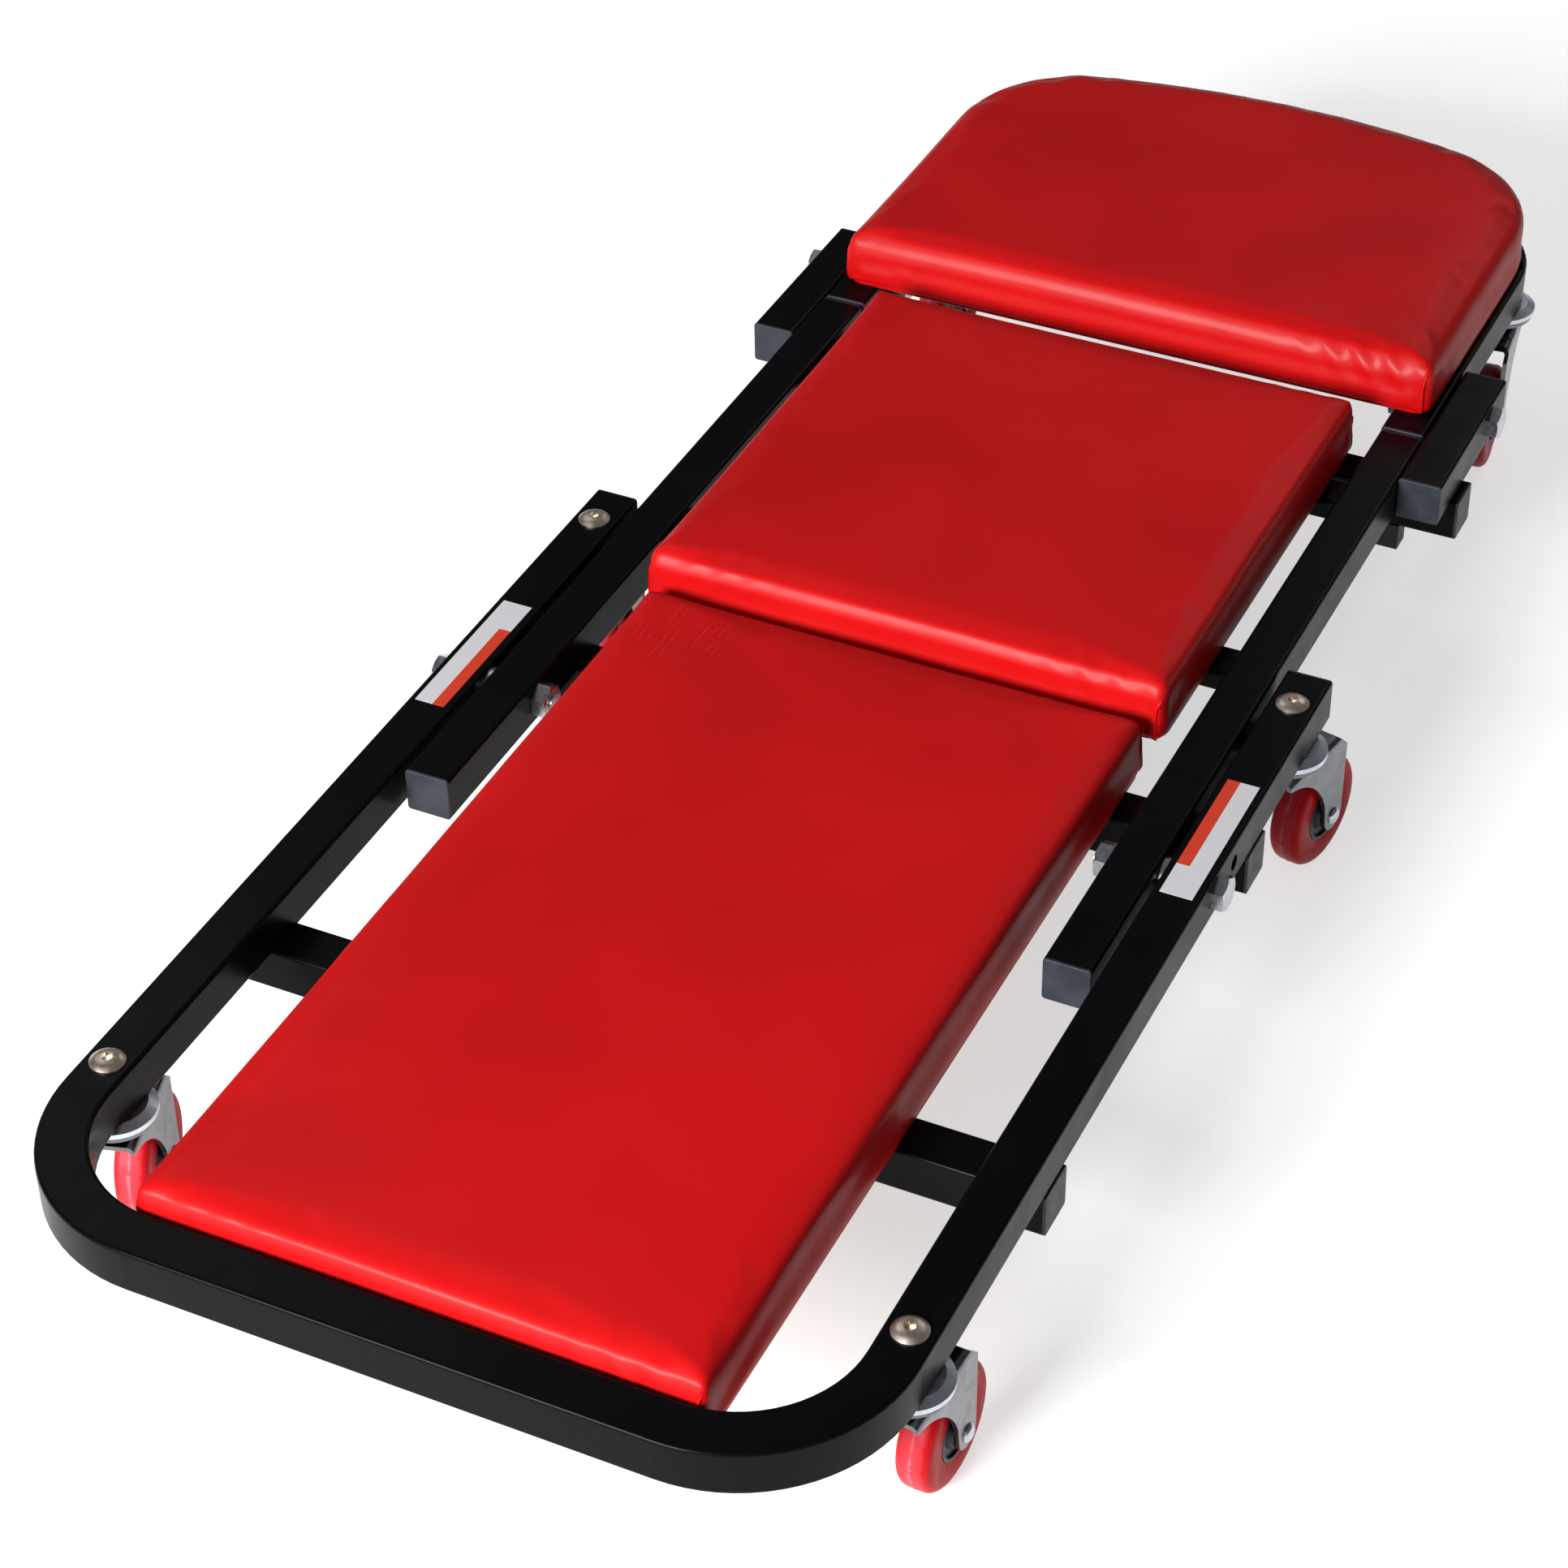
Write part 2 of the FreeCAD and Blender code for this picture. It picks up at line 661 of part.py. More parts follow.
def stop_block(side):
    centre_x = head_outer_x - tube * half
    low = Vector(centre_x - stop_block_width * half, joint_cross_y, cross_z - stop_block_height)
    high = Vector(centre_x + stop_block_width * half, joint_cross_y + stop_block_depth, cross_z)
    block = box(low, high)
    block = block.makeFillet(cap_rounding, edges_along(block, Z))
    return block if side > 0 else mirrored(block)


# Head section, which folds down

def make_head_frame():
    frame = u_tube(head_outer_x, head_far_y, head_near_y + cap_flange, head_bend_radius, frame_z)
    for side in (-1, 1):
        frame = drill(frame, Vector(side * head_inner_x, head_pivot_y, pivot_z), X * side, pivot_bolt, tube)
    for x, y, heading in head_caster_places().values():
        frame = drill(frame, Vector(x, y, frame_z), Z, caster_bolt, tube_wall)
        top_wall = Vector(x, y, frame_top - tube_wall - overrun)
        frame = frame.cut(rod(top_wall, Z, access_hole * half, tube_wall + overrun + overrun))
    for x, y in head_bolts:
        frame = drill(frame, Vector(x, y, frame_z), Z, board_bolt, tube)
    return frame


def head_caps():
    return [end_cap(Vector(side * (head_outer_x - tube * half), head_near_y + cap_flange, pivot_z),
                    Y * -1, tube, tube) for side in (-1, 1)]


# Pivots

def pivot_bolts(outer_x, inner_x_end, y):
    """Hex bolt from outside on each side, long enough for the nut."""
    length = outer_x - inner_x_end + side_play + pivot_nut_height + bolt_tail
    bolts = []
    for side in (-1, 1):
        seat = Vector(side * outer_x, y, pivot_z)
        bolts.append(hex_bolt(seat, X * -side, pivot_bolt, pivot_head_flats, pivot_head_height, length))
    return bolts


def pivot_nuts(inner_x_end, y):
    nuts = []
    for side in (-1, 1):
        seat = Vector(side * (inner_x_end - side_play), y, pivot_z)
        nuts.append(nut(seat, X * -side, pivot_bolt, pivot_head_flats, pivot_nut_height))
    return nuts


def pivot_spacers():
    """Rings that keep the middle section off the foot section."""
    rings = []
    for side in (-1, 1):
        seat = Vector(side * inner_x, pivot_y, pivot_z)
        rings.append(tube_ring(seat, X * -side, pivot_spacer_outer * half, pivot_bolt * half + fit_gap,
                               pivot_gap - side_play))
    return rings


# Casters, made about their kingpin with the wheel trailing along Y

def race_cup():
    bore = caster_bolt * half + fit_gap
    rim = cup_diameter * half
    return turned([(bore, 0), (cup_top_diameter * half, 0), (rim, -cup_skirt * half), (rim, -cup_skirt),
                   (rim - cup_sheet, -cup_skirt), (rim - cup_sheet, -cup_skirt * half - cup_sheet * half),
                   (crown_diameter * half - race_ball * half, -cup_plate), (bore, -cup_plate)])


def race_balls():
    balls = []
    centre_z = -cup_plate - race_play - race_ball * half
    for step in range(race_ball_count):
        angle = 2 * math.pi * step / race_ball_count
        radius = race_diameter * half
        centre = Vector(radius * math.cos(angle), radius * math.sin(angle), centre_z)
        balls.append(Part.makeSphere(race_ball * half, centre))
    return balls


def tangent_point(corner, centre, radius):
    """Where the line down from a corner touches the round end of the fork's leg."""
    away = corner - centre
    lean = math.acos(radius / away.Length)
    angle = math.atan2(away.z, away.y) + lean
    return centre + Vector(0, radius * math.cos(angle), radius * math.sin(angle))


def fork():
    """Pressed fork: a round crown, a bridge and two legs with a hollow edge down to the axle."""
    outer_x = fork_gap * half + fork_sheet
    axle = Vector(0, caster_trail, wheel_diameter * half - caster_height)
    top = -fork_top_drop
    wheel_side_y = caster_trail + fork_boss
    back_top = Vector(0, -fork_back, top)
    back_low = Vector(0, -fork_back, top - fork_skirt)
    sweep_end = Vector(0, fork_sweep_reach, top - fork_sweep_drop)
    chord = sweep_end - back_low
    inward = Vector(0, -chord.z, chord.y).normalize()
    sweep_middle = (back_low + sweep_end) * half + inward * fork_sweep_sag
    back_touch = tangent_point(sweep_end, axle, fork_boss)
    wheel_side_touch = axle + Y * fork_boss
    lowest = axle - Z * fork_boss
    shoulder_top = Vector(0, wheel_side_y - fork_shoulder, top)
    shoulder_low = Vector(0, wheel_side_y, top - fork_shoulder)
    side_view = Part.Wire([
        Part.LineSegment(back_top, shoulder_top).toShape(),
        Part.LineSegment(shoulder_top, shoulder_low).toShape(),
        Part.LineSegment(shoulder_low, wheel_side_touch).toShape(),
        Part.Arc(wheel_side_touch, lowest, back_touch).toShape(),
        Part.LineSegment(back_touch, sweep_end).toShape(),
        Part.Arc(sweep_end, sweep_middle, back_low).toShape(),
        Part.LineSegment(back_low, back_top).toShape()])
    legs_block = Part.Face(side_view).extrude(X * (outer_x + outer_x))
    legs_block.translate(X * -outer_x)
    length_y = fork_back + caster_trail + fork_boss + overrun
    low_z = axle.z - fork_boss - overrun
    start_y = -fork_back - overrun
    outside = box(Vector(-outer_x, start_y, low_z), Vector(outer_x, start_y + length_y + overrun, top))
    outside = outside.makeFillet(fork_bend, [edge for edge in edges_along(outside, Y)
                                             if edge.Vertexes[0].Point.z > low_z + overrun])
    inside = box(Vector(-fork_gap * half, start_y - overrun, low_z - overrun),
                 Vector(fork_gap * half, start_y + length_y + overrun + overrun, top - fork_sheet))
    inside = inside.makeFillet(fork_bend - fork_sheet, [edge for edge in edges_along(inside, Y)
                                                        if edge.Vertexes[0].Point.z > low_z + overrun])
    body = legs_block.common(outside.cut(inside))
    crown_bottom = top - fork_sheet
    crown = turned([(0, -crown_top_drop), (crown_diameter * half, -crown_top_drop),
                    (crown_diameter * half, -crown_top_drop - crown_rim), (outer_x, crown_bottom),
                    (0, crown_bottom)])
    body = body.fuse(crown)
    body = drill(body, Vector(0, 0, crown_bottom), Z, caster_bolt, crown_bottom * -1)
    groove_z = -cup_plate - race_play - race_ball * half
    groove = Part.makeTorus(race_diameter * half, race_ball * half + race_play, Vector(0, 0, groove_z), Z)
    body = body.cut(groove)
    return drill(body, axle - X * outer_x, X, axle_pin, outer_x + outer_x)


def axle_set():
    """Riveted axle with a dome at each end, and the sleeve that the wheel turns on."""
    outer_x = fork_gap * half + fork_sheet
    centre = Vector(0, caster_trail, wheel_diameter * half - caster_height)
    pin = rod(centre - X * outer_x, X, axle_pin * half, outer_x + outer_x)
    for side in (-1, 1):
        end = domed_head(rivet_head, rivet_height)
        end.rotate(ORIGIN, Y, side * math.degrees(math.pi * half))
        end.translate(centre + X * (side * outer_x))
        pin = pin.fuse(end)
    sleeve_half = fork_gap * half - fit_gap
    sleeve = tube_ring(centre - X * sleeve_half, X, axle_sleeve * half, axle_pin * half + fit_gap,
                       sleeve_half + sleeve_half)
    return [pin, sleeve]


def wheel_profile(points):
    """Solid of revolution about the axle, from pairs of radius and place along X."""
    axle = Vector(0, caster_trail, wheel_diameter * half - caster_height)
    corners = [axle + Vector(across, 0, radius) for radius, across in points]
    wire = Part.makePolygon(corners + [corners[0]])
    return Part.Face(wire).revolve(axle, X, full_turn)


def hub():
    bore = axle_sleeve * half + fit_gap
    boss = hub_boss_diameter * half
    rim = hub_diameter * half
    boss_end = hub_boss_length * half
    face = wheel_width * half
    floor = face - hub_recess
    right = [(bore, boss_end), (boss, boss_end), (hub_recess_inner, floor), (hub_recess_outer, floor),
             (hub_recess_outer, face), (rim, face)]
    left = [(radius, -across) for radius, across in reversed(right)]
    return wheel_profile(right + left)


def tyre():
    """Moulded tread ring with rounded shoulders."""
    axle = Vector(0, caster_trail, wheel_diameter * half - caster_height)
    outer = wheel_diameter * half
    inner = hub_diameter * half + fit_gap
    ring = wheel_profile([(inner, -wheel_width * half), (outer, -wheel_width * half),
                          (outer, wheel_width * half), (inner, wheel_width * half)])
    shoulders = [edge for edge in ring.Edges if isinstance(edge.Curve, Part.Circle)
                 and edge.Curve.Radius > outer - overrun and (edge.Curve.Center - axle).Length > overrun]
    return ring.makeFillet(tread_rounding, shoulders)


def placed(shape, place):
    """Set a caster piece under its tube, turned to its heading."""
    x, y, heading = place
    copy = shape.copy()
    copy.rotate(ORIGIN, Z, heading)
    copy.translate(Vector(x, y, frame_z))
    return copy


def caster_nut():
    seat = Vector(0, 0, -fork_top_drop - fork_sheet - side_play)
    return nut(seat, Z * -1, caster_bolt, caster_nut_flats, caster_nut_height)


def caster_bolt_piece(seat_height):
    """Button bolt from its seat above the tube's underside down to the nut under the crown."""
    reach = seat_height + fork_top_drop + fork_sheet + side_play + caster_nut_height + bolt_tail
    return button_bolt(Vector(0, 0, seat_height), caster_bolt, reach)


def save_caster_fittings(section, places, seat_height):
    """The pieces of a section's casters that don't turn with the fork."""
    bolt_piece = caster_bolt_piece(seat_height)
    save(section + "_caster_bolts", [placed(bolt_piece, place) for place in places.values()])
    save(section + "_caster_nuts", [placed(caster_nut(), place) for place in places.values()])
    bearings = [race_cup()] + race_balls()
    save(section + "_swivel_bearings",
         [placed(piece, place) for place in places.values() for piece in bearings])


def save_casters(places):
    for name, place in places.items():
        save("fork_" + name, [placed(fork(), place)])
        save("axle_" + name, [placed(piece, place) for piece in axle_set()])
        save("hub_" + name, [placed(hub(), place)])
        save("tyre_" + name, [placed(tyre(), place)])


def save_foot_section():
    save("base_frame", [make_base_frame()])
    save("foot_cross_tube", [cross_tube(foot_cross_y, frame_z, [x for x, y in long_bolts[:2]])])
    save("pivot_cross_tube", [cross_tube(pivot_cross_y, frame_z, [x for x, y in long_bolts[:2]])])
    save("base_end_caps", base_caps())
    board_solid = make_board(long_outline, frame_z, long_bolts)
    save("long_board", [board_solid])
    plain_board = make_board(long_outline, frame_z, [])
    save("long_pad", [make_pad(long_outline, frame_z, pad_thickness, plain_board)])
    save("long_board_bolts", board_bolts(long_bolts, cross_z, frame_z))
    save("main_pivot_bolts", pivot_bolts(base_width * half, middle_inner_x, pivot_y))
    save("main_pivot_nuts", pivot_nuts(middle_inner_x, pivot_y))
    save("main_pivot_spacers", pivot_spacers())
    save("side_strips", [side_strip(-1, strip_left_station), side_strip(1, strip_right_station)])
    save_caster_fittings("base", foot_caster_places(), tube)


def save_middle_section():
    save("middle_tube_left", [middle_tube(-1)])
    save("middle_tube_right", [middle_tube(1)])
    save("joint_cross_tube", [cross_tube(joint_cross_y, frame_z, [])])
    save("middle_rails", [rail(middle_inner_x, near_rail_y, frame_z, middle_bolts),
                          rail(middle_inner_x, far_rail_y, frame_z, middle_bolts)])
    save("hinge_tubes", [ear_tube(-1), ear_tube(1)])
    save("middle_end_caps", middle_caps())
    save("fold_stop_blocks", [stop_block(-1), stop_block(1)])
    save("middle_board", [make_board(middle_outline, middle_board_z, middle_bolts)])
    plain_board = make_board(middle_outline, middle_board_z, [])
    save("middle_pad", [make_pad(middle_outline, middle_board_z, middle_pad_thickness, plain_board)])
    save("middle_board_bolts", board_bolts(middle_bolts, frame_z, middle_board_z))
    save("head_pivot_bolts", pivot_bolts(ear_outer_x, head_inner_x, head_pivot_y))
    save("head_pivot_nuts", pivot_nuts(head_inner_x, head_pivot_y))


def save_head_section():
    save("head_frame", [make_head_frame()])
    save("head_rail", [rail(head_inner_x, head_rail_y, head_rail_z, [])])
    save("head_end_caps", head_caps())
    save("head_board", [make_board(head_pad_outline, frame_top, head_bolts)])
    plain_board = make_board(head_pad_outline, frame_top, [])
    save("head_pad", [make_pad(head_pad_outline, frame_top, pad_thickness, plain_board)])
    save("head_board_bolts", board_bolts(head_bolts, frame_z, frame_top))
    save_caster_fittings("head", head_caster_places(), tube_wall)


def main():
    os.makedirs("parts", exist_ok=True)
    save_foot_section()
    save_middle_section()
    save_head_section()
    save_casters(foot_caster_places())
    save_casters(head_caster_places())


main()
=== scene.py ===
import bpy
import bmesh
import json
import math
from mathutils import Matrix, Vector, geometry, noise
from mathutils.bvhtree import BVHTree


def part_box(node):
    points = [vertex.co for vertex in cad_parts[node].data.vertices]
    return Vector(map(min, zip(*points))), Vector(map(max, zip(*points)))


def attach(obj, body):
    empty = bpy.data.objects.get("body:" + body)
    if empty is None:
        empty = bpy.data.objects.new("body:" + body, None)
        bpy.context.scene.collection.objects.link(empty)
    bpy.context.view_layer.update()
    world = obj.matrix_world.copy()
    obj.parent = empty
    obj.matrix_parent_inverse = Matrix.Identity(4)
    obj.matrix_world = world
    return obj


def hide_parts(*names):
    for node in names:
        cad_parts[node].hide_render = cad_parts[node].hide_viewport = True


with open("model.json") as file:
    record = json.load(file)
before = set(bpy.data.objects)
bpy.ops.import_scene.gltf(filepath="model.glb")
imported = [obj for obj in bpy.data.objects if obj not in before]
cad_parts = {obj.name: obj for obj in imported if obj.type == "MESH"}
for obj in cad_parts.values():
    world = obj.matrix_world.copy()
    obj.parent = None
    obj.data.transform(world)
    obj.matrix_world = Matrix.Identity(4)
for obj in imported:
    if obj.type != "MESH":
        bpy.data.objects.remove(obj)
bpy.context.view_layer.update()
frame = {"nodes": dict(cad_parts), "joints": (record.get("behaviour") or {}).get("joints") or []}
nodes = frame["nodes"]
print("frame loaded:", len(nodes), "nodes")

casterNames = ("foot_left", "foot_right", "rear_left", "rear_right", "head_left", "head_right")


# Small helpers

def linear(red, green, blue):
    # screen colour from 0 to 255 as the linear colour a shader takes
    def channel(value):
        share = value / 255
        return share / 12.92 if share <= 0.04045 else ((share + 0.055) / 1.055) ** 2.4
    return channel(red), channel(green), channel(blue), 1


def newObject(name, bm, material=None):
    mesh = bpy.data.meshes.new(name)
    bm.to_mesh(mesh)
    bm.free()
    piece = bpy.data.objects.new(name, mesh)
    bpy.context.scene.collection.objects.link(piece)
    if material:
        mesh.materials.append(material)
    return piece


def smoothShade(piece, angle=None):
    for polygon in piece.data.polygons:
        polygon.use_smooth = True
    if angle is not None:
        piece.data.set_sharp_from_angle(angle=math.radians(angle))


def applyModifiers(piece):
    bpy.context.view_layer.update()
    evaluated = piece.evaluated_get(bpy.context.evaluated_depsgraph_get())
    baked = bpy.data.meshes.new_from_object(evaluated)
    piece.modifiers.clear()
    piece.data = baked


def joinInto(piece, extra):
    # adds the other object's faces to the piece and removes that object
    bm = bmesh.new()
    bm.from_mesh(piece.data)
    extra.data.transform(extra.matrix_world)
    bm.from_mesh(extra.data)
    bm.to_mesh(piece.data)
    bm.free()
    bpy.data.objects.remove(extra)


# Materials: every one is built of nodes on Object coordinates

def startMaterial(name):
    material = bpy.data.materials.new(name)
    material.use_nodes = True
    tree = material.node_tree
    shader = tree.nodes["Principled BSDF"]
    coordinates = tree.nodes.new("ShaderNodeTexCoord")
    return material, tree, shader, coordinates.outputs["Object"]


def noiseNode(tree, coordinates, scale, detail=3, roughness=0.55):
    node = tree.nodes.new("ShaderNodeTexNoise")
    tree.links.new(coordinates, node.inputs["Vector"])
    node.inputs["Scale"].default_value = scale
    node.inputs["Detail"].default_value = detail
    node.inputs["Roughness"].default_value = roughness
    return node.outputs["Fac"]


def rampNode(tree, factor, stops):
    node = tree.nodes.new("ShaderNodeValToRGB")
    tree.links.new(factor, node.inputs["Fac"])
    ramp = node.color_ramp
    while len(ramp.elements) < len(stops):
        ramp.elements.new(0.5)
    for element, (place, colour) in zip(ramp.elements, stops):
        element.position = place
        element.color = colour
    return node.outputs["Color"]


def greyRamp(tree, factor, stops):
    return rampNode(tree, factor, [(place, (value, value, value, 1)) for place, value in stops])


def mathNode(tree, operation, first, second=None, clamp=False):
    node = tree.nodes.new("ShaderNodeMath")
    node.operation = operation
    node.use_clamp = clamp
    for place, value in enumerate((first, second)):
        if value is None:
            continue
        if isinstance(value, (int, float)):
            node.inputs[place].default_value = value
        else:
            tree.links.new(value, node.inputs[place])
    return node.outputs["Value"]


def mixColour(tree, factor, first, second):
    node = tree.nodes.new("ShaderNodeMix")
    node.data_type = "RGBA"
    for name, value in (("Factor", factor), ("A", first), ("B", second)):
        socket = node.inputs[name]
        if hasattr(value, "is_linked"):
            tree.links.new(value, socket)
        else:
            socket.default_value = value
    return node.outputs["Result"]


def bumpNode(tree, height, strength, distance, normal=None):
    node = tree.nodes.new("ShaderNodeBump")
    tree.links.new(height, node.inputs["Height"])
    node.inputs["Strength"].default_value = strength
    node.inputs["Distance"].default_value = distance
    if normal:
        tree.links.new(normal, node.inputs["Normal"])
    return node.outputs["Normal"]


def axisValue(tree, coordinates, axis):
    node = tree.nodes.new("ShaderNodeSeparateXYZ")
    tree.links.new(coordinates, node.inputs["Vector"])
    return node.outputs[axis]


vinylLook = {
    "colour": linear(206, 11, 14),
    "paler": linear(212, 14, 17),
    "deeper": linear(198, 9, 12),
    "cloudScale": 7,           # all scales are per metre
    "polishScale": 26,
    "roughness": (0.46, 0.56),
    "grainScale": 900,
    "fineGrainScale": 420,
    "grainDepth": 0.00008,
    "slackScale": 16,          # the vinyl's slight looseness over the foam
    "slackDepth": 0.0012,
    "coat": 0.07,
    "coatRoughness": 0.17,
    "specular": 0.16,
}


scuffLook = {
    "colour": linear(224, 112, 106),
    "arcScale": 75,
    "arcBend": 3,
    "breakScale": 90,
    "strength": 0.34,
}


def addScuff(tree, place, colour, centre, size):
    # thin arcs of rubbed vinyl inside one small patch
    look = scuffLook
    wave = tree.nodes.new("ShaderNodeTexWave")
    tree.links.new(place, wave.inputs["Vector"])
    wave.inputs["Scale"].default_value = look["arcScale"]
    wave.inputs["Distortion"].default_value = look["arcBend"]
    wave.inputs["Detail"].default_value = 2
    wave.inputs["Detail Scale"].default_value = 0.6
    line = greyRamp(tree, wave.outputs["Fac"], [(0.965, 0), (0.99, 1)])
    squares = []
    for axis, middle, half in zip("XY", centre, size):
        offset = mathNode(tree, "SUBTRACT", axisValue(tree, place, axis), middle)
        share = mathNode(tree, "DIVIDE", offset, half)
        squares.append(mathNode(tree, "POWER", mathNode(tree, "ABSOLUTE", share), 2))
    patch = mathNode(tree, "SUBTRACT", 1, mathNode(tree, "ADD", *squares), clamp=True)
    broken = greyRamp(tree, noiseNode(tree, place, look["breakScale"]), [(0.46, 0), (0.6, 1)])
    mask = mathNode(tree, "MULTIPLY", mathNode(tree, "MULTIPLY", line, patch), broken)
    return mixColour(tree, mathNode(tree, "MULTIPLY", mask, look["strength"]), colour, look["colour"])


def makeVinyl(name, scuffCentre=None, scuffSize=(0.03, 0.03)):
    look = vinylLook
    material, tree, shader, place = startMaterial(name)
    links = tree.links
    clouds = noiseNode(tree, place, look["cloudScale"], detail=2)
    colour = rampNode(tree, clouds, [(0.36, look["deeper"]), (0.5, look["colour"]), (0.66, look["paler"])])
    rough = greyRamp(tree, noiseNode(tree, place, look["polishScale"], detail=4),
                     [(0.35, look["roughness"][0]), (0.68, look["roughness"][1])])
    if scuffCentre:
        colour = addScuff(tree, place, colour, scuffCentre, scuffSize)
    links.new(colour, shader.inputs["Base Color"])
    links.new(rough, shader.inputs["Roughness"])
    cells = tree.nodes.new("ShaderNodeTexVoronoi")
    links.new(place, cells.inputs["Vector"])
    cells.inputs["Scale"].default_value = look["grainScale"]
    pebbles = mathNode(tree, "ADD", cells.outputs["Distance"],
                       noiseNode(tree, place, look["fineGrainScale"], detail=4))
    fine = bumpNode(tree, pebbles, 0.35, look["grainDepth"])
    slack = noiseNode(tree, place, look["slackScale"], detail=2)
    links.new(bumpNode(tree, slack, 0.14, look["slackDepth"], fine), shader.inputs["Normal"])
    shader.inputs["Coat Weight"].default_value = look["coat"]
    shader.inputs["Coat Roughness"].default_value = look["coatRoughness"]
    shader.inputs["Specular IOR Level"].default_value = look["specular"]
    return material


paintLook = {
    "colour": linear(6, 7, 9),
    "dust": linear(27, 28, 30),
    "speckScale": 520,
    "filmScale": 11,
    "polishScale": 34,
    "roughness": (0.26, 0.36),
    "peelScale": 330,          # fine orange peel of the sprayed paint
    "peelDepth": 0.00006,
    "waveScale": 42,
    "waveDepth": 0.0004,
    "coat": 0.035,
    "coatRoughness": 0.10,
    "specular": 0.06,
}


def makePaint():
    look = paintLook
    material, tree, shader, place = startMaterial("blackEnamel")
    links = tree.links
    specks = greyRamp(tree, noiseNode(tree, place, look["speckScale"], detail=5, roughness=0.7),
                      [(0.66, 0), (0.76, 0.25)])
    film = greyRamp(tree, noiseNode(tree, place, look["filmScale"], detail=4), [(0.42, 0), (0.8, 0.12)])
    haze = mathNode(tree, "MAXIMUM", specks, film)
    links.new(mixColour(tree, haze, look["colour"], look["dust"]), shader.inputs["Base Color"])
    rough = greyRamp(tree, noiseNode(tree, place, look["polishScale"], detail=5),
                     [(0.35, look["roughness"][0]), (0.7, look["roughness"][1])])
    links.new(rough, shader.inputs["Roughness"])
    peel = bumpNode(tree, noiseNode(tree, place, look["peelScale"], detail=2), 0.18, look["peelDepth"])
    wave = noiseNode(tree, place, look["waveScale"], detail=2)
    links.new(bumpNode(tree, wave, 0.12, look["waveDepth"], peel), shader.inputs["Normal"])
    shader.inputs["Coat Weight"].default_value = look["coat"]
    shader.inputs["Coat Roughness"].default_value = look["coatRoughness"]
    shader.inputs["Specular IOR Level"].default_value = look["specular"]
    return material


plasticLook = {
    "mottleScale": 60,
    "polishScale": 120,
    "textureScale": 700,
    "textureDepth": 0.00006,
    "specular": 0.4,
}


def makePlastic(name, colour, worn, roughness):
    look = plasticLook
    material, tree, shader, place = startMaterial(name)
    links = tree.links
    mottle = greyRamp(tree, noiseNode(tree, place, look["mottleScale"], detail=5), [(0.4, 0), (0.72, 1)])
    links.new(mixColour(tree, mottle, colour, worn), shader.inputs["Base Color"])
    rough = greyRamp(tree, noiseNode(tree, place, look["polishScale"], detail=4),
                     [(0.3, roughness[0]), (0.7, roughness[1])])
    links.new(rough, shader.inputs["Roughness"])
    texture = noiseNode(tree, place, look["textureScale"])
    links.new(bumpNode(tree, texture, 0.4, look["textureDepth"]), shader.inputs["Normal"])
    shader.inputs["Specular IOR Level"].default_value = look["specular"]
    return material


metalLook = {
    "stainScale": 85,
    "polishScale": 240,
}


def makeMetal(name, colour, stained, roughness, markScale=160, markDepth=0.00003):
    # plated steel: slight stains, uneven polish and faint rolling marks
    look = metalLook
    material, tree, shader, place = startMaterial(name)
    links = tree.links
    stain = greyRamp(tree, noiseNode(tree, place, look["stainScale"], detail=5, roughness=0.65),
                     [(0.42, 0), (0.75, 1)])
    links.new(mixColour(tree, stain, colour, stained), shader.inputs["Base Color"])
    rough = greyRamp(tree, noiseNode(tree, place, look["polishScale"], detail=4),
                     [(0.32, roughness[0]), (0.7, roughness[1])])
    links.new(rough, shader.inputs["Roughness"])
    marks = noiseNode(tree, place, markScale, detail=4)
    links.new(bumpNode(tree, marks, 0.3, markDepth), shader.inputs["Normal"])
    shader.inputs["Metallic"].default_value = 1
    return material


treadLook = {
    "deeper": linear(214, 18, 27),
    "paler": linear(226, 24, 34),
    "film": linear(226, 84, 98),       # paler running face: part painted sheen, part dust rubbed into it
    # painted highlight: a pale line along the flash line round the middle
    "flashHighlight": linear(228, 118, 130),
    "raggedScale": 260,
    "cloudScale": 40,
    "polishScale": 180,
    "grainScale": 500,
    "grainDepth": 0.00008,
    "specular": 0.12,
    "glowThrough": 0.15,
    "glowReach": (0.004, 0.0008, 0.0008),
}


def makeTread():
    # the "across" attribute runs from -1 to 1 over the tread's width
    look = treadLook
    material, tree, shader, place = startMaterial("redTread")
    links = tree.links
    across = tree.nodes.new("ShaderNodeAttribute")
    across.attribute_name = "across"
    away = mathNode(tree, "ABSOLUTE", across.outputs["Fac"])
    uneven = noiseNode(tree, place, look["raggedScale"], detail=5)
    ragged = mathNode(tree, "ADD", away, mathNode(tree, "MULTIPLY", uneven, 0.5))
    # the flash line's paler colour is a painted highlight
    line = greyRamp(tree, ragged, [(0.2, 1), (0.36, 0)])
    # the running face is made paler: part painted sheen, part dust
    film = greyRamp(tree, ragged, [(0.3, 0.6), (0.85, 0.35), (1, 0)])
    base = rampNode(tree, noiseNode(tree, place, look["cloudScale"]),
                    [(0.35, look["deeper"]), (0.7, look["paler"])])
    sheenAndDust = mixColour(tree, film, base, look["film"])
    links.new(mixColour(tree, line, sheenAndDust, look["flashHighlight"]), shader.inputs["Base Color"])
    rough = greyRamp(tree, noiseNode(tree, place, look["polishScale"]), [(0.3, 0.36), (0.7, 0.5)])
    links.new(rough, shader.inputs["Roughness"])
    grain = noiseNode(tree, place, look["grainScale"], detail=4)
    links.new(bumpNode(tree, grain, 0.35, look["grainDepth"]), shader.inputs["Normal"])
    shader.inputs["Specular IOR Level"].default_value = look["specular"]
    shader.inputs["Subsurface Weight"].default_value = look["glowThrough"]
    shader.inputs["Subsurface Radius"].default_value = look["glowReach"]
    return material


